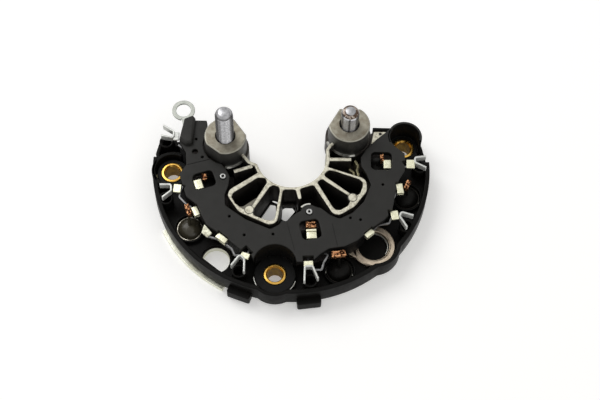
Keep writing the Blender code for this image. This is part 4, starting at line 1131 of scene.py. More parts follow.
EPOXY = Finish(
    "diode_resin", (0.0060, 0.0056, 0.0050), (0.0095, 0.0088, 0.0075), 0.42, 0.06, 0.0, Grain.SMOOTH, 0.1,
    2.5, 0.6, shine=0.08
)
PALE_EPOXY = Finish(
    "diode_resin_clear", (0.046, 0.040, 0.026), (0.070, 0.062, 0.042), 0.24, 0.06, 0.0, Grain.SMOOTH, 0.1,
    2.5, 0.6, shine=0.3
)
# Painted shade: a near-black copy of the cup metal
SHADED_DIODE_CUP = Finish(
    "diode_cup", (0.030, 0.028, 0.025), (0.016, 0.014, 0.012), 0.40, 0.08, 1.0, Grain.ROLLED, 0.2, 1.6, 0.7
)
BRIGHT_CUP = Finish(
    "diode_cup_bright", (0.55, 0.52, 0.44), (0.10, 0.09, 0.07), 0.30, 0.08, 1.0, Grain.ROLLED, 0.2, 2.4, 0.9,
    hard=(0.46, 0.56)
)


def machined(name: str, center: Point) -> Material:
    """A faced boss: fine turning marks about its own centre."""
    finish = Finish(
        name, (0.255, 0.240, 0.195), (0.165, 0.145, 0.110), 0.44, 0.06, 1.0, Grain.TURNED, 0.14, 2.6, 1.0,
        center=center
    )
    return finish.material()


def threaded(name: str, center: Point, reflection_bands: tuple[Span, ...], groove: Span) -> Material:
    """The bright side of a stud, with painted reflections as dark stripes about its own axis and painted
    shade in its thread.
    """
    finish = Finish(
        name, (0.86, 0.86, 0.88), (0.56, 0.56, 0.58), 0.24, 0.05, 0.55, Grain.SMOOTH, 0.15, 0.8, 0.8,
        center=center, reflection_bands=reflection_bands, groove=groove
    )
    return finish.material()


# Sizes that several sub-assemblies share


class Side(Enum):
    """The three mounting holes and the three phases."""

    LEFT = "left"
    FRONT = "front"
    RIGHT = "right"


BUSH_CENTERS = {Side.LEFT: (-53.8, -3.3), Side.FRONT: (-6.2, -52.5), Side.RIGHT: (51.0, 11.6)}
WASHER_RADIUS = {Side.LEFT: 6.9, Side.FRONT: 9.0, Side.RIGHT: 6.5}
LEFT_BOSS = (-29.6, 5.8)
RIGHT_BOSS = (25.6, 13.1)
RING_LUG_CENTER = (37.0, -37.3)
RING_LUG_HOLE = 6.9
RING_LUG_WALL = 2.9
PASSAGE_CENTER = (-32.4, -44.0)
PASSAGE_ROUND = (-68.0, 172.0)
RIVET_CENTERS = {Side.LEFT: (-30.2, -10.7), Side.FRONT: (8.3, -27.4)}
NEGATIVE_SEATS = {Side.LEFT: (-44.6, -30.2), Side.FRONT: (22.0, -49.1), Side.RIGHT: (52.3, -12.4)}
POSITIVE_SEATS = {Side.LEFT: (-38.2, -10.9), Side.FRONT: (9.6, -36.7), Side.RIGHT: (38.6, 0.2)}
DIODE_HOLE = 6.05
# Each clip: strip from the end of one arm round the nose to the end of the other, and its seat as
# (x, y, length, width, turn), as the tabs are given too
CLIPS = (
    (((-58.4, 15.8), (-53.5, 12.8), (-53.3, 9.5), (-59.1, 10.6)), (-52.3, 10.6, 2.6, 4.0, 0.0)),
    (((-58.2, -14.4), (-53.1, -14.3), (-52.9, -17.3), (-56.6, -20.7)), (-50.3, -15.9, 3.4, 4.0, -5.0)),
    (((-25.0, -52.9), (-21.4, -47.6), (-19.4, -49.9), (-19.4, -55.6)), (-19.2, -47.9, 3.9, 2.8, -20.0)),
    (((6.6, -59.5), (6.7, -52.6), (10.0, -52.4), (12.4, -58.2)), (8.2, -51.1, 4.2, 2.6, 4.0)),
    (((54.0, -27.2), (48.5, -25.6), (48.1, -27.9), (51.0, -32.8)), (45.8, -27.0, 3.4, 4.2, 10.0)),
    (((60.4, 2.5), (55.4, 1.8), (55.4, -0.7), (60.3, -3.2)), (53.4, -1.3, 3.8, 4.3, 0.0)),
)
CLIP_SEATS = ((-52.4, 7.9), (-49.6, -16.6), (-18.9, -47.2), (8.1, -50.6), (45.2, -27.4), (52.5, -1.9))
CLIP_NOSES = ((-53.9, 12.0), (-52.4, -15.2), (-20.4, -48.6), (8.2, -52.9), (48.2, -26.9), (55.1, -0.2))
TABS = {
    Side.LEFT: ((-41.0, -13.9, 3.8, 4.8, 20.0), (-41.6, -27.1, 2.7, 4.4, 26.0)),
    Side.FRONT: ((9.5, -37.7, 4.5, 3.2, 5.0), (-29.6, -39.9, 5.4, 2.5, -38.0)),
    Side.RIGHT: ((43.0, -1.8, 3.6, 4.3, 1.0), (48.3, -13.9, 3.1, 4.7, 8.0), (34.6, -36.2, 4.6, 2.2, 42.0)),
}
BAR_PATHS = {
    Side.LEFT: (
        (
            (-51.2, 6.8), (-46.4, 3.2), (-45.2, -5.0), (-47.0, -12.4), (-48.9, -16.6), (-49.2, -19.6),
            (-46.4, -22.6), (-42.0, -25.8)
        ),
        ((-46.9, -12.0), (-42.2, -13.6)),
        ((-45.9, 0.9), (-42.4, 1.2)),
    ),
    Side.FRONT: (
        ((-36.6, -38.4), (-30.2, -39.9), (-25.0, -44.2), (-23.6, -47.4), (-18.6, -47.0), (-15.6, -41.6)),
        ((-15.6, -41.6), (-6.0, -39.2), (3.6, -42.4), (8.0, -45.4), (8.1, -50.4)),
        ((8.0, -45.4), (9.5, -39.4)),
        ((8.0, -45.4), (12.6, -44.0), (16.8, -46.2), (14.8, -50.0), (14.0, -53.4), (11.0, -53.4)),
    ),
    Side.RIGHT: (
        ((34.4, -36.2), (38.4, -31.4), (43.4, -30.4), (44.6, -27.4), (44.2, -21.0), (47.2, -14.4)),
        ((47.2, -14.4), (46.6, -7.6), (49.6, -2.4), (52.4, -1.9)),
        ((46.6, -7.6), (44.0, -2.4)),
    ),
}
# Fins and lobes: one outline that starts and ends in the bay wall, and four closed pockets
COMB: tuple[tuple[Point, float], ...] = (
    ((-14.9, -8.8), 0.9),
    ((-29.1, -18.9), 3.8),
    ((-22.6, -28.4), 6.0),
    ((-5.9, -36.0), 3.8),
    ((-3.4, -17.0), 1.4),
    ((2.1, -17.0), 1.0),
    ((3.3, -21.7), 0.6),
    ((4.9, -21.4), 0.6),
    ((4.1, -16.5), 1.0),
    ((9.9, -14.4), 1.4),
    ((19.6, -30.3), 3.6),
    ((28.1, -24.7), 6.0),
    ((33.6, -17.0), 3.0),
    ((33.6, -10.9), 4.0),
    ((16.5, -5.2), 0.9),
)
POCKETS: tuple[tuple[Point, ...], ...] = (
    (
        (-14.8, -11.4), (-11.4, -11.5), (-10.7, -13.7), (-15.4, -22.3), (-16.9, -25.3), (-20.4, -27.1),
        (-24.0, -24.4), (-25.9, -21.2), (-25.4, -19.3)
    ),
    (
        (-9.4, -16.0), (-7.8, -14.9), (-5.3, -15.8), (-4.9, -17.8), (-6.8, -30.9), (-8.0, -32.2),
        (-10.2, -32.0), (-13.4, -30.9), (-16.2, -29.6), (-16.1, -27.2), (-14.7, -24.8)
    ),
    (
        (11.6, -12.9), (13.8, -11.3), (15.6, -12.8), (25.0, -19.2), (26.2, -21.6), (25.2, -24.2),
        (21.8, -26.4), (19.9, -26.4), (18.5, -24.9)
    ),
    (
        (14.9, -8.7), (16.7, -6.9), (19.2, -7.3), (30.2, -11.2), (31.6, -12.6), (31.6, -14.8), (30.4, -18.2),
        (28.6, -19.3), (26.4, -18.4), (15.1, -9.9)
    ),
)
POCKET_CORNER = 1.1
PADS = ((-18.0, -27.3), (27.2, -20.3))
VENT_FLOORS: tuple[tuple[Point, ...], ...] = (
    ((-13.2, -23.4), (-9.0, -16.2), (-6.7, -16.6), (-6.3, -23.5), (-9.8, -25.4)),
    ((-3.6, -18.6), (-2.5, -17.7), (0.9, -17.7), (2.2, -19.8), (-2.0, -25.4), (-3.9, -23.8)),
)
PLATE_BOTTOM = 5.5
PLATE_TOP = 7.9
FRAME_FLOOR = (3.8, 5.2)
CARRIER_BOTTOM = 17.2
CARRIER_TOP = 20.0
FIN_TOP = 21.0
BOSS_TOP = 28.0
BAR_LEVELS = (15.9, 16.9)
SKIRT_BOTTOM = 8.2


# Sub-assemblies


@dataclass
class Assembly:
    """What every sub-assembly of the rectifier shares."""

    press: Press
    made: list[Piece] = field(default_factory=list)

    def deliver(self, piece: Piece, slot: str, *nodes: str) -> Piece:
        """Hands a finished piece to the frame.

        Args:
            piece: The new object.
            slot: Material slot of the record; not used.
            *nodes: Solids that it stands for.

        Returns:
            The same object.
        """
        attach(piece, "root")
        if nodes:
            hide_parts(*nodes)
        self.made.append(piece)
        LOG.info("%s: %d faces", piece.name, len(piece.data.polygons))
        return piece


class Tone(IntEnum):
    """Finishes of the casting, in the order of its material slots."""

    MACHINED = 0
    LEFT_FACE = 1
    RIGHT_FACE = 2
    LUG = 3
    # Painted shade on walls, pocket sides and the plate
    PAINTED_SHADE = 4
    # Painted shade on boss sides and pad grooves
    SIDE = 5
    YELLOWED = 6
    # Painted highlights where edges catch the light
    PAINTED_HIGHLIGHT = 7
    RIM = 8
    # Painted shade on the web in a pocket
    WEB = 9


@dataclass
class CastHeatSink(Assembly):
    """The aluminium casting: plate, wall round the bay, fins, pads, stud bosses and ring lug."""

    bay_radius: float = 15.7
    bay_wall: float = 1.6
    fin: float = 1.75
    fin_edge: float = 0.35
    plate_radius: float = 47.4
    sleeve_hole: float = 6.05
    boss_radius: float = 9.45
    flange_radius: float = 10.4
    flange_top: float = 16.5
    counterbore: float = 4.55
    shank_hole: float = 4.25
    head_room: float = 6.85

    def build(self) -> None:
        """Casts the heat sink."""
        mold = Mold()
        self._plate(mold)
        self._comb(mold)
        self._small_walls(mold)
        self._bright_places(mold)
        self._boss(mold, LEFT_BOSS, ((233.5, 8.6), (35.7, 8.1)), Tone.LEFT_FACE)
        self._boss(mold, RIGHT_BOSS, ((151.0, 7.8), (90.0, 8.0)), Tone.RIGHT_FACE)
        self._ring_lug(mold)
        faces = [machined("left_boss_face", LEFT_BOSS), machined("right_boss_face", RIGHT_BOSS)]
        others = (RING_ALUMINIUM, CAST_SHADE, SHADED_BOSS_SIDE, YELLOWED, HIGHLIGHT_ALUMINIUM, BOSS_RIM, WEB_TONE)
        finishes = [CAST_ALUMINIUM.material(), *faces, *(finish.material() for finish in others)]
        piece = mold.cast("cast_heat_sink", finishes)
        self.deliver(piece, "cast_aluminium", "positive_heat_sink")

    def _plate(self, mold: Mold) -> None:
        """The flat plate under the fins.

        Args:
            mold: Collects the shells.
        """
        sides = (Side.LEFT, Side.FRONT)
        lugs = [(BUSH_CENTERS[side], WASHER_RADIUS[side] + 0.1) for side in sides]
        outer = edge_with_lugs(self.plate_radius, lugs, 172.0, 361.0)
        right = [
            (48.0, 4.0), (45.4, 20.9), (37.8, 20.9), (34.0, 17.0), (25.0, 21.4), (17.2, 12.0), (15.6, 4.0)
        ]
        left = [(-17.5, -3.0), (-22.4, 3.6), (-24.0, 12.0), (-34.0, 14.6), (-47.2, 15.4)]
        bay = arc(AXIS, self.bay_radius + 0.5, 372.0, 193.0)
        outline = outer + rounded(right, 1.5, False) + bay + rounded(left, 2.0, False)
        holes = [circle(BUSH_CENTERS[side], self.sleeve_hole) for side in sides]
        holes += [circle(seat, DIODE_HOLE) for seat in POSITIVE_SEATS.values()]
        holes += [rounded(pocket, POCKET_CORNER) for pocket in POCKETS]
        gap = [(-4.5, -26.9), (-3.8, -18.0), (1.9, -18.1), (2.7, -21.0), (1.4, -26.9)]
        holes.append(rounded(gap, 0.8))
        start = len(mold.faces)
        levels = [(PLATE_BOTTOM, 0.0), (PLATE_TOP - 0.25, 0.0), (PLATE_TOP - 0.07, 0.07), (PLATE_TOP, 0.22)]
        mold.slab(outline, levels, holes)
        # The plate in painted shade except its underside, and the right lug in painted shade too
        mold.repaint(
            start, lambda middle, facing: Tone.PAINTED_SHADE if middle.z > PLATE_BOTTOM + 0.05 else Tone.MACHINED
        )
        right_lug = circle(BUSH_CENTERS[Side.RIGHT], WASHER_RADIUS[Side.RIGHT] + 0.4)
        bore = circle(BUSH_CENTERS[Side.RIGHT], self.sleeve_hole)
        mold.slab(right_lug, soft_levels(PLATE_BOTTOM + 0.1, PLATE_TOP - 0.1, 0.2), [bore], paint=Tone.PAINTED_SHADE)

    def _comb(self, mold: Mold) -> None:
        """The wall round the bay with the fins and lobes that grow out of it.

        Args:
            mold: Collects the shells.
        """
        middle = self.bay_radius + self.bay_wall / 2
        wall = arc(AXIS, middle, 198.0, 372.0, 3.0)
        path = [(-24.6, 3.4), (-19.0, -3.6)] + wall + [(17.6, 6.0), (21.6, 9.4)]
        sides = stroke(path, self.bay_wall)
        inner, outer = sides[: len(path)], sides[len(path) :]
        first, last = (bearing_of(corner) for corner, _ in (COMB[0], COMB[-1]))
        before: Outline = []
        after: Outline = []
        for point in outer:
            bearing = bearing_of(point)
            if bearing > last + 1.0 or bearing < 90.0:
                before.append(point)
            elif bearing < first - 1.0:
                after.append(point)
        corners = [before[-1]] + [corner for corner, _ in reversed(COMB)] + [after[0]]
        lobes: Outline = []
        for number, (_, radius) in enumerate(reversed(COMB), 1):
            lobes += fillet(corners[number - 1], corners[number], corners[number + 1], radius)
        start = len(mold.faces)
        pockets = [rounded(pocket, POCKET_CORNER) for pocket in POCKETS]
        levels = soft_levels(PLATE_BOTTOM + 0.3, FIN_TOP, 0.3, 0.0, 0.08)
        mold.slab(inner + before + lobes + after, levels, pockets)
        mold.repaint(start, self._tone)

    def _tone(self, middle: Vector, facing: Vector) -> Tone:
        """Machined colour on the tops and on the bay side, painted shade on the walls in between.

        Args:
            middle: Middle of a face.
            facing: Its normal.

        Returns:
            The tone of the face.
        """
        if middle.z > FIN_TOP - 0.42:
            return Tone.MACHINED
        bearing = bearing_of(middle.xy)
        beside = bearing < 205.0 or bearing > 345.0
        inward = facing.x * middle.x + facing.y * middle.y < 0.0
        near = math.hypot(middle.x, middle.y) < self.bay_radius + 0.3
        return Tone.MACHINED if near or (beside and inward) else Tone.PAINTED_SHADE

    def _small_walls(self, mold: Mold) -> None:
        """Short fins, the guard wall, the lip round the front rivet and the rivet pillars.

        Args:
            mold: Collects the shells.
        """
        finish = CAST_ALUMINIUM.material()
        short = [[(-17.4, -5.5), (-25.4, -8.4)], [(16.6, -1.3), (26.6, -1.1)]]
        start = len(mold.faces)
        mold.absorb(
            self.press.strip(short, PLATE_BOTTOM, FIN_TOP - 0.05, self.fin, 0.1, self.fin_edge, finish)
        )
        # Fin tops in the machined colour, fin sides in painted shade
        mold.repaint(start, lambda middle, facing: Tone.MACHINED if middle.z > FIN_TOP - 0.5 else Tone.PAINTED_SHADE)
        guard = [[(28.8, 2.0), (30.2, -0.8), (29.5, -2.8), (30.3, -5.4), (29.4, -8.4)]]
        guard.append([(26.2, -2.4), (28.4, -4.2), (27.6, -7.2)])
        mold.absorb(self.press.strip(guard, PLATE_BOTTOM, 14.0, 1.1, 1.0, 0.3, finish), Tone.YELLOWED)
        lip = [arc(RIVET_CENTERS[Side.FRONT], 4.5, 142.0, 84.0, 8.0)]
        lip_top = 19.0
        start = len(mold.faces)
        mold.absorb(self.press.strip(lip, PLATE_BOTTOM, lip_top, 0.9, 0.1, 0.25, finish))
        # Painted highlight along the top of the lip, painted shade on its sides
        mold.repaint(start, lambda middle, facing: Tone.PAINTED_HIGHLIGHT if middle.z > lip_top - 0.3 else Tone.PAINTED_SHADE)
        pillar = [(0.0, 16.9), (1.6, 16.9), (1.8, 16.7), (2.2, PLATE_BOTTOM), (0.0, PLATE_BOTTOM)]
        # Rivet pillars in painted shade
        for center in RIVET_CENTERS.values():
            mold.lathe(pillar, center, 24, Tone.PAINTED_SHADE)

    def _bright_places(self, mold: Mold) -> None:
        """Painted highlights where edges of the plate catch the light beside the sleeves, and the lit corner
        behind the right boss.

        Args:
            mold: Collects the shells.
        """
        finish = HIGHLIGHT_ALUMINIUM.material()
        front, left = BUSH_CENTERS[Side.FRONT], BUSH_CENTERS[Side.LEFT]
        arcs = [arc(front, 9.3, 186.0, 246.0, 5.0), arc(front, 9.3, 290.0, 344.0, 5.0)]
        mold.absorb(self.press.strip(arcs, PLATE_BOTTOM, PLATE_TOP, 0.5, 0.1, 0.12, finish), Tone.PAINTED_HIGHLIGHT)
        # Painted highlight, in the yellowed colour, on the lit edge beside the left sleeve
        beside = [arc(left, 7.2, 186.0, 256.0, 5.0)]
        mold.absorb(self.press.strip(beside, PLATE_BOTTOM, PLATE_TOP, 0.6, 0.1, 0.12, finish), Tone.YELLOWED)
        # A thin layer in the machined colour that lifts the plate's painted shade where light falls
        corner = [(36.6, 14.0), (37.9, 20.7), (45.2, 20.7), (46.6, 12.0)]
        mold.slab(rounded(corner, 0.8), [(PLATE_TOP - 0.5, 0.0), (PLATE_TOP + 0.02, 0.02)])
        button = [
            (0.0, PLATE_TOP + 0.06), (0.75, PLATE_TOP + 0.04), (0.8, PLATE_TOP - 0.4), (0.0, PLATE_TOP - 0.4)
        ]
        mold.lathe(button, (40.8, 19.6), 20, Tone.SIDE)
        groove = [(0.0, FIN_TOP + 0.02), (2.15, FIN_TOP + 0.02), (2.25, FIN_TOP - 0.6), (0.0, FIN_TOP - 0.6)]
        pad = [
            (0.0, FIN_TOP + 0.2), (1.75, FIN_TOP + 0.2), (1.9, FIN_TOP), (1.9, FIN_TOP - 0.5),
            (0.0, FIN_TOP - 0.5)
        ]
        for center in PADS:
            # Painted shade in the groove round each pad
            mold.lathe(groove, center, 28, Tone.SIDE)
            mold.lathe(pad, center, 28)
        web = [(-13.8, -18.5), (-20.8, -23.9), (-24.2, -24.2), (-21.0, -27.2), (-16.4, -25.5)]
        mold.slab(rounded(web, 0.6), soft_levels(PLATE_BOTTOM + 0.4, 17.6, 0.4), paint=Tone.WEB)

    def _boss(self, mold: Mold, center: Point, flats: Sequence[Point], face: Tone) -> None:
        """One stud boss: flange, body with two flats, and the faced top with its counterbore.

        Args:
            mold: Collects the shells.
            center: Middle of the boss.
            flats: Bearing and distance of each flat.
            face: Tone of the faced top.
        """
        outline: Outline = []
        for i in range(144):
            angle = 2.5 * i
            reach = self.boss_radius
            for bearing, distance in flats:
                lean = math.cos(math.radians(angle - bearing))
                if lean > 0.3:
                    reach = min(reach, distance / lean)
            outline.append(polar(reach, angle, center))
        hole = circle(center, self.counterbore, 6.0)
        levels = soft_levels(self.flange_top - 0.6, BOSS_TOP - 0.2, 0.45, 0.0, 0.15)
        start = len(mold.faces)
        mold.slab(outline, levels, [hole])
        # Boss sides in painted shade below the lighter rim
        mold.repaint(start, lambda middle, facing: Tone.RIM if middle.z > BOSS_TOP - 0.62 else Tone.SIDE)
        top = inset_loop(clean_loop(outline, True), 0.75)
        mold.slab(top, [(BOSS_TOP - 2.0, 0.0), (BOSS_TOP - 0.06, 0.0), (BOSS_TOP, 0.06)], [hole], paint=face)
        wide, high, low = self.flange_radius, self.flange_top, PLATE_BOTTOM + 0.1
        ring = [(self.counterbore, high), (wide - 0.5, high), (wide, high - 0.5), (wide + 0.1, low)]
        ring += [
            (self.head_room, low), (self.head_room, 7.8), (self.shank_hole, 7.8), (self.shank_hole, 26.4)
        ]
        ring += [(self.counterbore, 26.4), (self.counterbore, high)]
        start = len(mold.faces)
        mold.lathe(ring, center, 64)
        mold.repaint(start, lambda middle, facing: self._flange_tone(middle, center))

    def _flange_tone(self, middle: Vector, center: Point) -> Tone:
        """Painted highlight only where the flange of a boss catches the light, painted shade elsewhere.

        Args:
            middle: Middle of a face.
            center: Middle of the boss.

        Returns:
            The tone of the face.
        """
        bearing = bearing_of(middle.xy - Vector(center))
        low, high = (268.0, 322.0) if center == LEFT_BOSS else (196.0, 285.0)
        lit = middle.z > self.flange_top - 0.55 or (middle.z < 6.0 and center == RIGHT_BOSS)
        return Tone.PAINTED_HIGHLIGHT if lit and low < bearing < high else Tone.PAINTED_SHADE

    def _ring_lug(self, mold: Mold) -> None:
        """The ring at the right front, with a raised inner lip and a wing to the plate.

        Args:
            mold: Collects the shells.
        """
        inner, outer = RING_LUG_HOLE, RING_LUG_HOLE + RING_LUG_WALL
        profile = [(inner + 0.1, PLATE_TOP), (inner + 0.45, PLATE_TOP + 0.12), (inner + 0.8, PLATE_TOP - 0.1)]
        profile += [
            (outer - 0.5, PLATE_TOP - 0.1), (outer, PLATE_TOP - 0.6), (outer, PLATE_BOTTOM),
            (inner, PLATE_BOTTOM)
        ]
        profile += [(inner, PLATE_TOP - 0.2), (inner + 0.1, PLATE_TOP)]
        mold.lathe(profile, RING_LUG_CENTER, 96, Tone.LUG)
        # Painted highlight on the inner ledge of the ring
        ledge = [arc(RING_LUG_CENTER, inner - 0.55, -35.0, 118.0, 5.0)]
        finish = RING_ALUMINIUM.material()
        mold.absorb(
            self.press.strip(ledge, PLATE_BOTTOM, PLATE_TOP - 0.9, 0.35, 0.1, 0.1, finish), Tone.PAINTED_HIGHLIGHT
        )
        wing = [(22.6, -40.2), (25.6, -41.2), (30.2, -43.9), (29.2, -38.2), (27.0, -36.0), (23.6, -38.2)]
        mold.slab(rounded(wing, 0.8), soft_levels(PLATE_BOTTOM, PLATE_TOP - 0.1, 0.3), paint=Tone.LUG)


@dataclass
class MouldedFrame(Assembly):
    """The black frame between the heat sinks: floor, rim, cups, wire tubes and tabs."""

    rim_radius: float = 62.68
    rim_wall: float = 2.1
    rim_bottom: float = 2.0
    rim_top: float = 12.0
    bay_radius: float = 17.3
    bush_hole: float = 6.1
    passage_radius: float = 6.8
    tube_radius: float = 3.2
    tube_wall: float = 0.9
    tab_width: float = 10.6
    tab_reach: float = 3.0
    tab_angles: Span = (250.2, 278.0)
    tubes: tuple[Point, ...] = (
        (-57.2, 11.0), (-55.6, -17.9), (-21.8, -52.6), (9.2, -56.4), (51.4, -29.2), (58.0, 0.6)
    )

    def build(self) -> None:
        """Moulds the frame."""
        mold = Mold()
        finish = FRAME_BLACK.material()
        self._floor(mold)
        self._rim(mold)
        low = FRAME_FLOOR[0]
        top = self.rim_top
        mold.absorb(
            self.press.rings(self.tubes, low, top + 0.2, self.tube_radius, self.tube_wall, 0.25, finish)
        )
        cup = arc(BUSH_CENTERS[Side.LEFT], 8.4, 62.0, 262.0, 6.0)
        mold.absorb(self.press.strip([cup], low, top, 1.6, 0.1, 0.3, finish))
        left_end = [(-61.0, 5.0), (-59.2, 12.9), (-54.2, 13.6), (-52.0, 9.4)]
        mold.absorb(self.press.strip([left_end], low, top - 0.8, 1.6, 1.2, 0.3, finish))
        right_end = [(61.4, 2.4), (59.3, 12.0), (57.7, 17.6), (55.7, 22.2), (37.4, 22.3)]
        mold.absorb(self.press.strip([right_end], low, 7.8, 1.5, 2.0, 0.25, finish))
        seats = list(NEGATIVE_SEATS.values())
        mold.absorb(self.press.rings(seats, low + 0.2, 7.4, 7.0, 0.8, 0.2, finish))
        for angle in self.tab_angles:
            self._tab(mold, angle)
        self.deliver(mold.cast("moulded_frame", [finish]), "glossy_moulding", "insulator_frame")

    def _swells(self, add: float) -> list[tuple[Point, float]]:
        """Swellings of the rim, larger by this much.

        Args:
            add: Added to every radius.

        Returns:
            The middle and radius of each.
        """
        ring = RING_LUG_HOLE + RING_LUG_WALL
        left, front = BUSH_CENTERS[Side.LEFT], BUSH_CENTERS[Side.FRONT]
        return [(left, 7.6 + add * 0.97), (front, 9.9 + add * 0.88), (RING_LUG_CENTER, ring + 0.5 + add)]

    def _rim(self, mold: Mold) -> None:
        """The rim wall, with soft edges.

        Args:
            mold: Collects the shells.
        """
        outside = edge_with_lugs(self.rim_radius, self._swells(1.7), 177.0, 363.0)
        inside = edge_with_lugs(self.rim_radius - self.rim_wall, self._swells(0.0), 177.0, 363.0)
        levels = soft_levels(self.rim_bottom, self.rim_top, 0.45, 0.2)
        mold.slab(outside + inside[::-1], levels)

    def _floor(self, mold: Mold) -> None:
        """The floor with its holes.

        Args:
            mold: Collects the shells.
        """
        middle = edge_with_lugs(self.rim_radius - self.rim_wall / 2, self._swells(0.9), 177.0, 363.0)
        right = [
            (60.6, 4.0), (58.6, 13.0), (56.8, 22.3), (37.0, 22.3), (33.4, 9.2), (23.8, 1.8), (17.6, -0.6)
        ]
        left = [(-18.4, -1.0), (-26.0, 1.4), (-37.2, 15.4), (-46.0, 17.4), (-58.0, 12.6), (-60.6, 3.6)]
        bay = arc(AXIS, self.bay_radius, 356.0, 186.0)
        outline = middle + rounded(right, 2.5, False) + bay + rounded(left, 2.5, False)
        holes = [circle(center, self.bush_hole) for center in BUSH_CENTERS.values()]
        holes += [circle(seat, DIODE_HOLE) for seat in (*NEGATIVE_SEATS.values(), *POSITIVE_SEATS.values())]
        holes += [circle(center, self.tube_radius - self.tube_wall) for center in self.tubes[1:]]
        holes.append(arc(PASSAGE_CENTER, self.passage_radius, *PASSAGE_ROUND, 5.0))
        holes += [rounded(vent, 0.4) for vent in VENT_FLOORS]
        mold.slab(outline, [(FRAME_FLOOR[0], 0.0), (FRAME_FLOOR[1], 0.0)], holes)

    def _tab(self, mold: Mold, angle: float) -> None:
        """One of the two tabs on the front of the rim.

        Args:
            mold: Collects the shells.
            angle: Bearing of the tab, in degrees.
        """
        start = self.rim_radius - self.rim_wall / 2
        x, y = polar((start + self.rim_radius + self.tab_reach) / 2, angle)
        outline = turned_box(x, y, self.tab_reach + self.rim_wall / 2, self.tab_width, angle, 0.9)
        mold.slab(outline, soft_levels(1.0, 6.5, 0.35, 0.2))


@dataclass
class NegativeHeatSink(Assembly):
    """The lower plate of sheet aluminium with its thin flange."""

    radius: float = 60.4
    thickness: float = 3.5
    bay_radius: float = 17.7
    bush_hole: float = 5.2
    passage_radius: float = 6.0
    flange_radius: float = 64.3
    flange_round: Span = (207.0, 243.0)
    flange_thickness: float = 1.6

    def build(self) -> None:
        """Cuts the plate."""
        mold = Mold()
        right = [polar(self.radius, 3.0), (58.4, 12.0), (56.6, 21.2), (37.2, 21.2), (33.6, 9.0), (24.0, 1.6)]
        right = rounded(right + [(17.6, -1.0)], 2.5, False)
        left = [(-18.6, -1.4), (-26.0, 1.0), (-37.0, 15.0), (-46.0, 17.0), (-58.0, 11.4)]
        left = rounded(left + [polar(self.radius, 177.0)], 2.5, False)
        notch = [(2.3, -26.2), (-13.4, -26.0)]
        bay = arc(AXIS, self.bay_radius, 355.0, 277.4) + notch + arc(AXIS, self.bay_radius, 222.0, 187.0)
        outline = arc(AXIS, self.radius, 177.0, 363.0)[1:-1] + right + bay + left
        holes = [circle(center, self.bush_hole) for center in BUSH_CENTERS.values()]
        holes += [circle(seat, DIODE_HOLE) for seat in NEGATIVE_SEATS.values()]
        holes.append(arc(PASSAGE_CENTER, self.passage_radius, *PASSAGE_ROUND, 5.0))
        mold.slab(outline, soft_levels(0.0, self.thickness, 0.2, 0.2), holes)
        # Top faces in painted shade, sides and underside in the sheet's own colour
        mold.repaint(0, lambda middle, facing: 1 if facing.z > 0.5 else 0)
        start, end = self.flange_round
        flange = arc(AXIS, self.flange_radius, start, end) + arc(AXIS, self.radius - 0.3, end, start)
        mold.slab(flange, soft_levels(0.0, self.flange_thickness, 0.2, 0.2))
        piece = mold.cast("negative_plate", [SHEET_ALUMINIUM.material(), SHADED_SHEET.material()])
        self.deliver(piece, "sheet_aluminium", "negative_heat_sink")


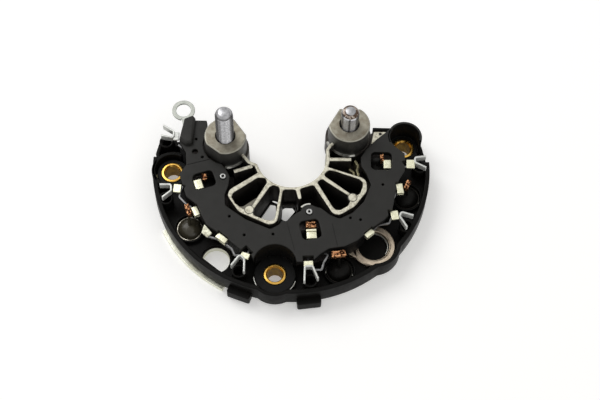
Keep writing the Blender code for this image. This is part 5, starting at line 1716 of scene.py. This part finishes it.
@dataclass
class TerminalCarrier(Assembly):
    """The moulded cover plate with windows, wells, skirts, joint lines and the raised finger."""

    edge: float = 0.35
    pin_hole: float = 0.6
    rivet_hole: float = 1.25
    bar_hole: tuple[Point, float] = ((-43.2, 1.8), 1.3)
    skirt_inset: float = 1.1
    windows: tuple[tuple[float, float, float, float, float], ...] = (
        (-38.4, -12.4, 9.2, 8.0, 20.0),
        (8.9, -35.7, 8.6, 9.2, 13.0),
        (40.2, -1.1, 9.3, 9.0, 0.0),
    )
    pins: tuple[Point, ...] = (
        (-43.1, 8.2), (-39.8, -0.9), (-26.6, -30.1), (-19.8, -39.0), (-7.3, -38.3), (26.3, -29.7),
        (30.7, -30.5), (40.7, -13.0)
    )
    joint_lines: tuple[tuple[Point, Point], ...] = (
        ((-46.3, -5.0), (-35.6, -1.8)), ((-1.3, -32.9), (2.2, -46.0)), ((18.4, -33.0), (21.0, -45.0))
    )
    finger: tuple[Point, ...] = (
        (-48.8, 17.9), (-44.9, 19.6), (-43.8, 18.0), (-44.4, 5.0), (-47.6, 4.6), (-50.6, 7.0)
    )

    def build(self) -> None:
        """Moulds the carrier."""
        plate = Mold()
        holes = [turned_box(*window, radius=2.0) for window in self.windows]
        holes += [circle(pin, self.pin_hole, 30.0) for pin in self.pins]
        holes += [circle(center, self.rivet_hole, 20.0) for center in RIVET_CENTERS.values()]
        holes.append(circle(*self.bar_hole, 20.0))
        plate.slab(self._outline(), soft_levels(CARRIER_BOTTOM, CARRIER_TOP, self.edge, 0.15), holes)
        # Sides of the plate in painted shade, its top in the carrier black
        plate.repaint(0, lambda middle, facing: 0 if middle.z > CARRIER_TOP - 0.4 else 1)
        piece = plate.cast("terminal_carrier_plate", [CARRIER_BLACK.material(), CARRIER_SHADE.material()])
        carve(piece, self._cutters())
        self.deliver(piece, "black_moulding", "terminal_carrier")
        walls = Mold()
        self._walls(walls)
        self._finger(walls)
        finishes = [CARRIER_BLACK.material(), CARRIER_SHADE.material()]
        self.deliver(walls.cast("terminal_carrier_walls", finishes), "black_moulding")

    def _outline(self) -> Outline:
        """The edge of the plate, anticlockwise from the left end."""
        end = rounded([(-48.8, 17.0), (-44.0, 18.0), (-38.8, 18.0)], 1.0, False)
        return end + self._inner_edge() + self._outer_edge()

    def _outer_edge(self) -> Outline:
        """From the right well round the front to the left end.

        Returns:
            The path.
        """
        right = [(50.7, 3.0), (50.9, -0.6), (50.5, -6.0), (47.8, -10.8)]
        right += [(46.2, -16.2), (45.4, -21.6), (44.4, -26.4), (41.2, -30.2)]
        front_right = [
            (35.4, -34.6), (29.4, -40.4), (23.8, -43.4), (17.0, -44.6), (13.6, -47.0), (10.6, -50.0),
            (5.6, -51.2)
        ]
        well = arc(BUSH_CENTERS[Side.FRONT], WASHER_RADIUS[Side.FRONT] + 0.4, 8.0, 168.0, 4.0)
        front_left = [
            (-16.6, -48.0), (-20.4, -46.6), (-27.6, -40.6), (-32.4, -37.2), (-36.4, -34.4), (-38.6, -30.4)
        ]
        left = [
            (-42.0, -24.0), (-46.0, -20.8), (-47.6, -15.8), (-49.6, -9.6), (-46.8, -5.0), (-47.2, 1.0),
            (-50.6, 6.8)
        ]
        return rounded(right + front_right, 1.4, False) + well + rounded(front_left + left, 1.6, False)

    def _inner_edge(self) -> Outline:
        """Along the bosses and the fins, from the left end to the right well.

        Returns:
            The path.
        """
        by_boss = arc(LEFT_BOSS, 10.15, 152.0, 262.0, 4.0)
        lobe = [(-28.6, -7.6), (-27.2, -10.6), (-27.6, -15.0), (-29.0, -19.6), (-28.6, -24.8), (-19.4, -31.4)]
        lobe += [(-8.6, -35.9), (-4.8, -33.6), (-3.4, -31.4), (-1.8, -32.0), (2.5, -28.0)]
        tongue = arc(RIVET_CENTERS[Side.FRONT], 3.75, 170.0, 52.0, 8.0)
        other = [
            (13.4, -25.2), (17.4, -28.4), (21.6, -30.2), (27.2, -27.2), (32.2, -21.6), (35.4, -13.4),
            (33.4, -7.6)
        ]
        to_well = [
            (31.2, -4.0), (31.0, 0.6), (33.4, 4.6), (37.8, 9.6), (44.0, 15.2), (48.5, 17.0), (50.0, 10.0),
            (46.6, 6.3)
        ]
        before = rounded([by_boss[-1]] + lobe, 1.8, False)[1:]
        return [(-38.4, 16.6)] + by_boss + before + tongue + rounded(other + to_well, 1.8, False)

    def _cutters(self) -> list[Piece]:
        """Joint lines and the rooms for tabs and clip seats.

        Returns:
            The cutting bodies.
        """
        shapes: list[tuple[Outline, float]] = []
        for line in self.joint_lines:
            shapes.append((stroke(line, 0.3), CARRIER_TOP - 0.25))
        for tabs in TABS.values():
            for x, y, length, width, turn in tabs:
                shapes.append((turned_box(x, y, length + 0.6, width + 0.6, turn), CARRIER_BOTTOM - 1.0))
        shapes.append((circle(BUSH_CENTERS[Side.RIGHT], 6.8), CARRIER_BOTTOM - 1.0))
        for vertex, seat in zip(CLIP_NOSES, CLIP_SEATS):
            away = (Vector(seat) - Vector(vertex)).normalized()
            room = stroke([tuple(Vector(seat) + away * 2.4), tuple(Vector(seat) - away * 4.2)], 4.8)
            shapes.append((room, CARRIER_BOTTOM - 1.0))
        cutters: list[Piece] = []
        for outline, bottom in shapes:
            mold = Mold()
            mold.slab(outline, [(bottom, 0.0), (CARRIER_TOP + 1.0, 0.0)])
            cutters.append(mold.cast("cutter", [CARRIER_BLACK.material()]))
        return cutters

    def _walls(self, mold: Mold) -> None:
        """Well walls and skirts below the plate.

        Args:
            mold: Collects the shells.
        """
        finish = CARRIER_BLACK.material()
        front, right = BUSH_CENTERS[Side.FRONT], BUSH_CENTERS[Side.RIGHT]
        front_path = arc(front, WASHER_RADIUS[Side.FRONT] + 1.15, 30.0, 150.0, 4.0)
        # Front well wall in painted shade
        mold.absorb(
            self.press.strip([front_path], SKIRT_BOTTOM, CARRIER_BOTTOM + 0.3, 1.5, 0.1, 0.2, finish), 1
        )
        right_path = arc(right, WASHER_RADIUS[Side.RIGHT] + 0.8, -14.0, 204.0, 5.0)
        start = len(mold.faces)
        mold.absorb(self.press.strip([right_path], SKIRT_BOTTOM, CARRIER_TOP, 1.0, 0.1, 0.25, finish))
        lit = WASHER_RADIUS[Side.RIGHT] + 0.85
        # Inside of the right well in painted shade
        mold.repaint(
            start,
            lambda middle, facing: 0 if middle.z > CARRIER_TOP - 0.3 or math.dist(
                middle.xy, right
            ) > lit else 1
        )
        skirts = (
            [(-21.6, -45.4), (-27.6, -40.6), (-32.4, -37.2), (-36.4, -34.4), (-38.2, -31.2)],
            [(33.0, -36.8), (29.4, -40.4), (23.8, -43.4), (19.6, -44.2)],
            [(45.2, -24.0), (45.4, -21.6), (46.2, -16.8)],
            [(-47.6, -15.8), (-49.4, -9.8), (-46.9, -5.0)],
        )
        inner = []
        for path in skirts:
            shares = [1 - self.skirt_inset / math.hypot(x, y) for x, y in path]
            inner.append([(x * share, y * share) for (x, y), share in zip(path, shares)])
        # Skirts in painted shade
        mold.absorb(self.press.strip(inner, SKIRT_BOTTOM, CARRIER_BOTTOM + 0.3, 1.4, 1.0, 0.2, finish), 1)

    def _finger(self, mold: Mold) -> None:
        """The raised finger at the left end.

        Args:
            mold: Collects the shells.
        """
        crown = ((1.2, 0.0), (2.0, 0.35), (2.3, 0.7), (2.4, 1.1))
        levels = [(CARRIER_BOTTOM + 0.4, 0.0)] + [(CARRIER_TOP + rise, inset) for rise, inset in crown]
        mold.slab(rounded(self.finger, 0.9), levels)


@dataclass
class MountingHoles(Assembly):
    """The three brass bushes and their insulating sleeves."""

    bush_radius: float = 4.95
    bore: float = 3.4
    top: float = 9.2

    def build(self) -> None:
        """Turns bushes and sleeves."""
        for side, center in BUSH_CENTERS.items():
            bush = Mold()
            bore, wide, top = self.bore, self.bush_radius, self.top
            profile = [(bore, top - 0.75), (bore + 0.3, top - 0.35), (bore + 0.55, top), (wide - 0.35, top)]
            profile += [(wide - 0.1, top - 0.1), (wide, top - 0.35), (wide, 0.0), (bore, 0.0)]
            bush.lathe(profile + profile[:1], center, 64)
            # Bore faces in the brass darkened with painted shade
            bush.repaint(
                0,
                lambda middle, facing, axis=center: 1 if math.dist(middle.xy, axis) < self.bore + 0.02 else 0
            )
            piece = bush.cast(f"brass_bush_{side.value}", [BRASS.material(), SHADED_BORE_BRASS.material()])
            self.deliver(piece, "brass", f"mounting_bush_{side.value}")
            self._sleeve(side, center)

    def _sleeve(self, side: Side, center: Point) -> None:
        """One flanged sleeve.

        Args:
            side: Which bush it belongs to.
            center: Middle of the bush.
        """
        inner, tube, rim = self.bush_radius + 0.25, self.bush_radius + 0.95, WASHER_RADIUS[side]
        low = FRAME_FLOOR[0]
        profile = [
            (inner, 8.8), (rim - 0.25, 8.8), (rim, 8.6), (rim, 8.2), (tube, 8.2), (tube, low), (inner, low),
            (inner, 8.8)
        ]
        mold = Mold()
        mold.lathe(profile, center, 72)
        piece = mold.cast(f"sleeve_{side.value}", [SLEEVE_BLACK.material()])
        self.deliver(piece, "glossy_moulding", f"bush_sleeve_{side.value}")


@dataclass
class OutputStuds(Assembly):
    """The long battery stud and the short stud with its dog point."""

    radius: float = 3.98
    pitch: float = 1.25
    depth: float = 0.62
    head_radius: float = 6.6
    head: Span = (5.5, 7.5)

    def build(self) -> None:
        """Turns and threads both studs."""
        # Darkness of the painted reflections at each bearing round a stud, the back first
        behind = ((0.0, 0.6), (40.0, 0.1), (90.0, 0.5), (135.0, 0.05), (160.0, 0.4), (190.0, 0.95))
        long_reflection_bands = behind + (
            (226.0, 0.92), (233.0, 0.6), (240.0, 0.75), (249.0, 0.45), (255.0, 0.1), (262.0, 0.0)
        )
        long_reflection_bands += (
            (266.0, 0.3), (270.0, 0.0), (274.0, 0.35), (279.0, 0.0), (292.0, 0.1), (298.0, 0.5), (304.0, 0.2)
        )
        long_reflection_bands += ((316.0, 0.75), (334.0, 0.95))
        short_reflection_bands = behind + (
            (214.0, 0.92), (222.0, 0.35), (231.0, 0.0), (256.0, 0.05), (262.0, 0.85), (268.0, 0.85)
        )
        short_reflection_bands += ((275.0, 0.05), (304.0, 0.0), (312.0, 0.8), (330.0, 0.97))
        side = threaded("battery_stud_zinc", LEFT_BOSS, long_reflection_bands, (self.radius - 0.55, self.radius - 0.1))
        tip = [(2.35, 0.0), (2.6, 0.15), (3.35, 1.2)]
        self._stud("battery_stud", LEFT_BOSS, 20.2, 24.0, 1.2, (side, ZINC.material()), tip)
        side = threaded("short_stud_zinc", RIGHT_BOSS, short_reflection_bands, (self.radius - 0.6, self.radius - 0.15))
        tip = [(1.7, 0.0), (2.2, 0.25), (2.3, 0.6), (3.3, 1.1)]
        finishes = (side, ZINC.material(), WORN_ZINC.material())
        self._stud("short_stud", RIGHT_BOSS, 11.3, 37.1, 1.3, finishes, tip)

    def _stud(
        self, name: str, center: Point, above: float, run_out: float, lead_in: float,
        finishes: Sequence[Material], tip: Sequence[Level]
    ) -> None:
        """One stud: head, threaded shank and tip.

        Args:
            name: Name of the node.
            center: Its axis.
            above: How far it rises above the boss.
            run_out: Height where the thread starts.
            lead_in: Length over which the thread tapers out at the top.
            finishes: Materials of its side, its tip and the ragged start of its thread.
            tip: Radius and drop below the top of each point of the tip.
        """
        top = BOSS_TOP + above
        last = tip[-1][1]
        sizes = {
            "Radius": self.radius, "Depth": self.depth, "Pitch": self.pitch, "Bottom": 9.0,
            "Top": top - last + 0.2
        }
        sizes |= {"Lead in": lead_in, "Run out": run_out}
        thread = self.press.run("thread", [[(0.0, 0.0, 0.0)]], sizes, finishes[0])
        for vertex in thread.vertices:
            vertex.co.x += center[0]
            vertex.co.y += center[1]
        mold = Mold()
        mold.absorb(thread)
        ragged = len(finishes) > 2
        mold.repaint(0, lambda middle, facing: 2 if ragged and middle.z > run_out + 0.5 else 0)
        profile = [(0.0, top)] + [(radius, top - drop) for radius, drop in tip]
        profile += [(tip[-1][0], top - last - 1.5), (0.0, top - last - 1.5)]
        start = len(mold.faces)
        mold.lathe(profile, center, 40)
        mold.repaint(start, lambda middle, facing: 2 if ragged and math.dist(middle.xy, center) > 2.5 else 1)
        under, over = self.head
        mold.lathe(
            [(0.0, over), (self.head_radius, over), (self.head_radius, under), (0.0, under)], center, 48
        )
        mold.lathe([(0.0, 10.0), (self.radius - 0.1, 10.0), (self.radius - 0.1, 7.0), (0.0, 7.0)], center, 40)
        piece = mold.cast(name + "_threaded", finishes, 40.0)
        self.deliver(piece, "zinc", name)


@dataclass
class Diodes(Assembly):
    """Six press-fit diodes: cup, resin dome, lead and squeezed copper end."""

    radius: float = 5.8
    height: float = 6.2
    dome: float = 3.4
    dome_radius: float = 5.3
    lead_radius: float = 0.65
    nugget: float = 3.0
    negative: dict[Side, tuple[Point, float, Point]] = field(
        default_factory=lambda: {
            Side.LEFT: ((-44.9, -26.3), -70.0, (5.6, 2.1)),
            Side.FRONT: ((21.2, -46.2), 9.0, (6.4, 2.8)),
            Side.RIGHT: ((51.8, -11.7), -111.0, (4.6, 1.8)),
        }
    )
    positive: dict[Side, tuple[Point, float, Point]] = field(
        default_factory=lambda: {
            Side.LEFT: ((-38.6, -9.9), 104.0, (3.6, 2.0)),
            Side.FRONT: ((9.1, -32.6), 3.0, (4.6, 2.9)),
            Side.RIGHT: ((40.7, 1.5), 92.0, (3.6, 1.7)),
        }
    )

    def build(self) -> None:
        """Builds all six."""
        for side, (weld, turn, size) in self.negative.items():
            self._diode(f"negative_diode_{side.value}", NEGATIVE_SEATS[side], weld, turn, size, 0.2, 18.6)
        for side, (weld, turn, size) in self.positive.items():
            self._diode(f"positive_diode_{side.value}", POSITIVE_SEATS[side], weld, turn, size, 3.9, 18.7)

    def _diode(
        self, node: str, seat: Point, weld: Point, turn: float, size: Point, base: float, top: float
    ) -> None:
        """One diode.

        Args:
            node: Name of its solid.
            seat: Centre of the cup.
            weld: Centre of the copper end.
            turn: Bearing of the copper end.
            size: Its length and width.
            base: Underside of the cup.
            top: Top of the copper end.
        """
        mold = Mold()
        cup = base + self.height
        wide, inner = self.radius, self.dome_radius
        rim = [
            (inner, cup - 0.4), (inner + 0.1, cup), (wide - 0.15, cup), (wide, cup - 0.2), (wide, base + 0.3)
        ]
        rim += [(wide - 0.3, base), (0.0, base), (0.0, cup - 0.4), (inner, cup - 0.4)]
        mold.lathe(rim, seat, 48, 0)
        turns = [math.radians(angle) for angle in range(0, 91, 9)]
        dome = [(inner * math.sin(turn), cup - 0.3 + (self.dome + 0.2) * math.cos(turn)) for turn in turns]
        dome += [(0.0, cup - 0.3)]
        mold.lathe(dome, seat, 48, 1)
        peak = cup + self.dome
        bend = (seat[0] * 0.7 + weld[0] * 0.3, seat[1] * 0.7 + weld[1] * 0.3, peak + 0.8)
        mold.wire([(*seat, peak - 1.0), bend, (*weld, top - 2.0)], self.lead_radius, 12, 1)
        self._copper_end(mold, weld, turn, size, top)
        clear = node == "negative_diode_left"
        # The left negative diode keeps the cup metal's colour and clear resin; the others get cups in painted
        # shade
        cup_finish, resin = (BRIGHT_CUP, PALE_EPOXY) if clear else (SHADED_DIODE_CUP, EPOXY)
        piece = mold.cast(f"{node}_dressed", [cup_finish.material(), resin.material(), COPPER.material()])
        self.deliver(piece, "diode_case", node)

    def _copper_end(self, mold: Mold, weld: Point, turn: float, size: Point, top: float) -> None:
        """The squeezed end of the lead: strands side by side, pinched in the middle.

        Args:
            mold: Collects the shells.
            weld: Middle of the end.
            turn: Direction in degrees.
            size: Length and width.
            top: Height of its top.
        """
        length, width = size
        strands = max(2, round(width / 0.9))
        for number in range(strands):
            side = (number + 0.5) / strands * width - width / 2
            x, y = polar(side, turn + 90.0, weld)
            lift = 0.18 * (number % 2)
            outline = turned_box(x, y, length - 0.3 * lift, width / strands + 0.12, turn, 0.4)
            high = top - lift
            low = high - self.nugget
            levels = [(low, 0.2), (low + 0.4, 0.0), (high - 0.35, 0.0), (high - 0.1, 0.12), (high, 0.3)]
            mold.slab(outline, levels, paint=2)


@dataclass
class PhaseBars(Assembly):
    """Three stamped bars with the folded tabs that grip the leads."""

    width: float = 0.95
    leaf: float = 0.8
    tab_top: float = 18.4

    def build(self) -> None:
        """Stamps and folds the bars."""
        finish = TINNED.material()
        for side, paths in BAR_PATHS.items():
            mold = Mold()
            mold.absorb(
                self.press.strip(paths, BAR_LEVELS[0], BAR_LEVELS[1], self.width, 0.9, 0.2, finish), 1
            )
            for tab in TABS[side]:
                self._tab(mold, *tab)
            if side is Side.FRONT:
                self._loose_ends(mold)
            finishes = [finish, BAR_GREY.material(), TARNISHED_TIN.material()]
            piece = mold.cast(f"phase_bar_{side.value}_dressed", finishes)
            self.deliver(piece, "tinned", f"phase_bar_{side.value}")

    def _loose_ends(self, mold: Mold) -> None:
        """The twisted end leaf at the left, and the strip between tab and copper in the middle window.

        Args:
            mold: Collects the shells.
        """
        start = len(mold.spots)
        first = len(mold.faces)
        leaf = [(-37.4, -32.9), (-33.7, -37.4), (-36.0, -39.3), (-38.7, -36.9)]
        mold.slab(rounded(leaf, 0.35), soft_levels(16.6, 17.4, 0.2, 0.1))
        mold.lean(start, (-36.2, -37.0, 17.0), 14.0, 220.0)
        mold.repaint(first, lambda middle, facing: 2)
        mold.slab(turned_box(9.3, -35.1, 4.6, 1.2, 5.0, 0.25), soft_levels(15.9, 18.0, 0.2, 0.1))

    def _tab(self, mold: Mold, x: float, y: float, length: float, width: float, turn: float) -> None:
        """One folded tab: foot, back and crowned upper leaf.

        Args:
            mold: Collects the shells.
            x: Middle, to the right.
            y: Middle, to the back.
            length: Length of the leaf.
            width: Width of the leaf.
            turn: Direction in degrees.
        """
        back = -length / 2
        front = length / 2
        low, high = BAR_LEVELS[0] + 0.05, BAR_LEVELS[1] - 0.05
        under = self.tab_top - self.leaf
        section = [
            (back, low), (front, low), (front, high), (back + self.leaf, high), (back + self.leaf, under)
        ]
        section += [(front, under), (front, self.tab_top - 0.1), (0.0, self.tab_top), (back, self.tab_top)]
        start = len(mold.spots)
        half, soft = width / 2, 0.12
        mold.slab(
            rounded(section, 0.35), [(-half, soft), (-half + soft, 0.0), (half - soft, 0.0), (half, soft)]
        )
        stand = Matrix.Rotation(math.radians(turn), 3, "Z") @ Matrix.Rotation(math.radians(90.0), 3, "X")
        for i in range(start, len(mold.spots)):
            moved = stand @ Vector(mold.spots[i])
            mold.spots[i] = (moved.x + x, moved.y + y, moved.z)


@dataclass
class StatorClips(Assembly):
    """Six clips, each a strip folded to a V with a flat seat on its bar."""

    thickness: float = 0.85
    top: float = 18.8
    height: float = 3.4

    def build(self) -> None:
        """Folds the clips."""
        finish = CLIP_TIN.material()
        for index, (path, seat) in enumerate(CLIPS, 1):
            mold = Mold()
            mold.absorb(
                self.press.strip([path], self.top - self.height, self.top, self.thickness, 1.0, 0.2, finish)
            )
            low = BAR_LEVELS[1] + 0.3
            mold.slab(
                turned_box(*seat, 0.3), soft_levels(low, low + 0.9, 0.2, 0.1), paint=0 if index == 1 else 1
            )
            piece = mold.cast(f"stator_clip_{index}_folded", [finish, TINNED.material()])
            self.deliver(piece, "tinned", f"stator_clip_{index}")


@dataclass
class SmallHardware(Assembly):
    """The two hollow rivets and the ring terminal."""

    eyelet: Point = (-49.9, 25.0)
    eyelet_radius: float = 5.25
    eyelet_hole: float = 3.35
    root: Point = (-46.0, 10.4)
    root_half_width: float = 2.1

    def build(self) -> None:
        """Sets the rivets and the ring terminal."""
        finish = RIVET_ZINC.material()
        for side, center in RIVET_CENTERS.items():
            mold = Mold()
            mold.absorb(
                self.press.rings([center], CARRIER_TOP + 0.3, CARRIER_TOP + 0.75, 1.35, 0.8, 0.2, finish)
            )
            mold.absorb(self.press.rings([center], 13.7, CARRIER_TOP + 0.5, 1.0, 0.45, 0.1, finish))
            piece = mold.cast(f"hollow_rivet_{side.value}", [finish])
            self.deliver(piece, "zinc", f"carrier_rivet_{side.value}")
        self._ring_terminal()

    def _ring_terminal(self) -> None:
        """The stamped ring on its tongue."""
        top = BAR_LEVELS[1]
        mold = Mold()
        across = math.degrees(math.atan2(self.root[1] - self.eyelet[1], self.root[0] - self.eyelet[0]))
        outline = arc(self.eyelet, self.eyelet_radius, across + 24.0, across + 336.0, 6.0)
        outline.append(polar(4.4, across - 24.0, self.eyelet))
        outline += [polar(self.root_half_width, across + side, self.root) for side in (-90.0, 90.0)]
        outline.append(polar(4.4, across + 24.0, self.eyelet))
        mold.slab(
            outline, soft_levels(top - 0.8, top, 0.2, 0.1), [circle(self.eyelet, self.eyelet_hole, 6.0)]
        )
        self.deliver(mold.cast("ring_terminal_stamped", [EYELET_ZINC.material()]), "zinc", "ring_terminal")


# Studio


@dataclass(frozen=True)
class Studio:
    """Camera, floor and light of the portrait.

    Attributes:
        distance: Camera distance from the look-at point, in millimetres.
        elevation: Camera height above the horizon, in degrees.
        roll: Turn of the picture, in degrees.
        focal: Focal length, in pixels of the frame.
        shift: Look-at point off the middle of the frame, in pixels to the right and down.
        frame_width: Width of the frame, in pixels.
        sensor: Width of the camera's sensor, in millimetres.
    """

    distance: float = 600.0
    elevation: float = 62.0
    roll: float = 1.15
    focal: float = 1306.0
    shift: Span = (-8.9, -24.3)
    frame_width: float = 600.0
    sensor: float = 36.0

    def build(self) -> None:
        """Sets up the studio."""
        self._camera()
        self._floor()
        self._lights()
        self._world()
        bpy.context.scene.view_settings.view_transform = "Standard"

    def _target(self) -> Vector:
        """The look-at point in the row frame."""
        return Vector((SHAFT_AXIS[0] * MM, SHAFT_AXIS[1] * MM, 2.0 * MM))

    def _camera(self) -> None:
        """Places the camera at the photograph's angle."""
        camera = bpy.data.cameras.new("portrait_camera")
        camera.sensor_width = self.sensor
        camera.lens = self.focal / self.frame_width * self.sensor
        camera.shift_x = -self.shift[0] / self.frame_width
        camera.shift_y = self.shift[1] / self.frame_width
        camera.clip_start = 0.01
        holder = bpy.data.objects.new("portrait_camera", camera)
        bpy.context.scene.collection.objects.link(holder)
        tilt = math.radians(self.elevation)
        back = Vector((0.0, -math.cos(tilt), math.sin(tilt)))
        place = self._target() + back * self.distance * MM
        turn = back.to_track_quat("Z", "Y").to_matrix().to_4x4() @ Matrix.Rotation(
            math.radians(self.roll), 4, "Z"
        )
        holder.matrix_world = Matrix.Translation(place) @ turn
        bpy.context.scene.camera = holder

    def _floor(self) -> None:
        """A white sheet that keeps the object's shadow and fades to white."""
        mesh = bpy.data.meshes.new("paper_floor")
        half = 3.0
        corners = [(x * half, y * half, 0.0) for x, y in ((-1, -1), (1, -1), (1, 1), (-1, 1))]
        mesh.from_pydata(corners, [], [(0, 1, 2, 3)])
        floor = bpy.data.objects.new("paper_floor", mesh)
        floor.location.z = -0.0002
        bpy.context.scene.collection.objects.link(floor)
        material = bpy.data.materials.new("paper_white")
        material.use_nodes = True
        tree = material.node_tree
        board = Board(tree)
        shader = tree.nodes["Principled BSDF"]
        shader.inputs["Base Color"].default_value = (0.90, 0.895, 0.885, 1.0)
        shader.inputs["Roughness"].default_value = 0.9
        shader.inputs["Specular IOR Level"].default_value = 0.0
        path = board.add("ShaderNodeLightPath")
        glow = board.add("ShaderNodeEmission", {"Color": (1.0, 0.995, 0.985, 1.0)})
        seen = board.math("MAXIMUM", path.outputs["Is Camera Ray"], path.outputs["Is Glossy Ray"])
        seen = board.math("MAXIMUM", seen, path.outputs["Is Transmission Ray"])
        tree.links.new(board.math("MULTIPLY", seen, 0.30), glow.inputs["Strength"])
        both = board.add("ShaderNodeAddShader", {0: shader.outputs[0], 1: glow.outputs[0]})
        tree.links.new(both.outputs[0], tree.nodes["Material Output"].inputs["Surface"])
        mesh.materials.append(material)

    def _lights(self) -> None:
        """A large soft key from the upper left, and a fill from the front right."""
        self._area("key_light", (-0.55, 0.50, 0.95), 0.75, 5.5)
        self._area("fill_light", (0.60, -0.55, 0.80), 0.9, 1.2)

    def _area(self, name: str, place: Spot, size: float, power: float) -> None:
        """One square lamp that faces the object.

        Args:
            name: Name of the lamp.
            place: Where it stands.
            size: Side of the square.
            power: Power in watts.
        """
        lamp = bpy.data.lights.new(name, "AREA")
        lamp.shape = "SQUARE"
        lamp.size = size
        lamp.energy = power
        holder = bpy.data.objects.new(name, lamp)
        bpy.context.scene.collection.objects.link(holder)
        spot = Vector(place)
        turn = (spot - self._target()).to_track_quat("Z", "Y").to_matrix().to_4x4()
        holder.matrix_world = Matrix.Translation(spot) @ turn

    def _world(self) -> None:
        """White behind the object and in its reflections, with a plain level of light."""
        world = bpy.data.worlds.new("studio_white")
        bpy.context.scene.world = world
        world.use_nodes = True
        tree = world.node_tree
        board = Board(tree)
        ground = tree.nodes["Background"]
        ground.inputs["Color"].default_value = (1.0, 0.998, 0.99, 1.0)
        path = board.add("ShaderNodeLightPath")
        seen = board.math("MAXIMUM", path.outputs["Is Camera Ray"], path.outputs["Is Glossy Ray"])
        seen = board.math("MAXIMUM", seen, path.outputs["Is Transmission Ray"])
        strength = board.math("MULTIPLY_ADD", seen, 0.5, 0.5)
        tree.links.new(strength, ground.inputs["Strength"])


def main() -> None:
    """Builds the rectifier and its studio."""
    logging.basicConfig(level=logging.INFO, format="%(name)s: %(message)s")
    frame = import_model()
    LOG.info("frame with %d solids", len(frame["nodes"]))
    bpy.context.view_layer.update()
    press = Press()
    layers = (NegativeHeatSink, MouldedFrame, CastHeatSink, TerminalCarrier)
    fittings = (MountingHoles, OutputStuds, Diodes, PhaseBars, StatorClips, SmallHardware)
    for assembly in layers + fittings:
        assembly(press).build()
    Studio().build()


if __name__ == "__main__":
    main()
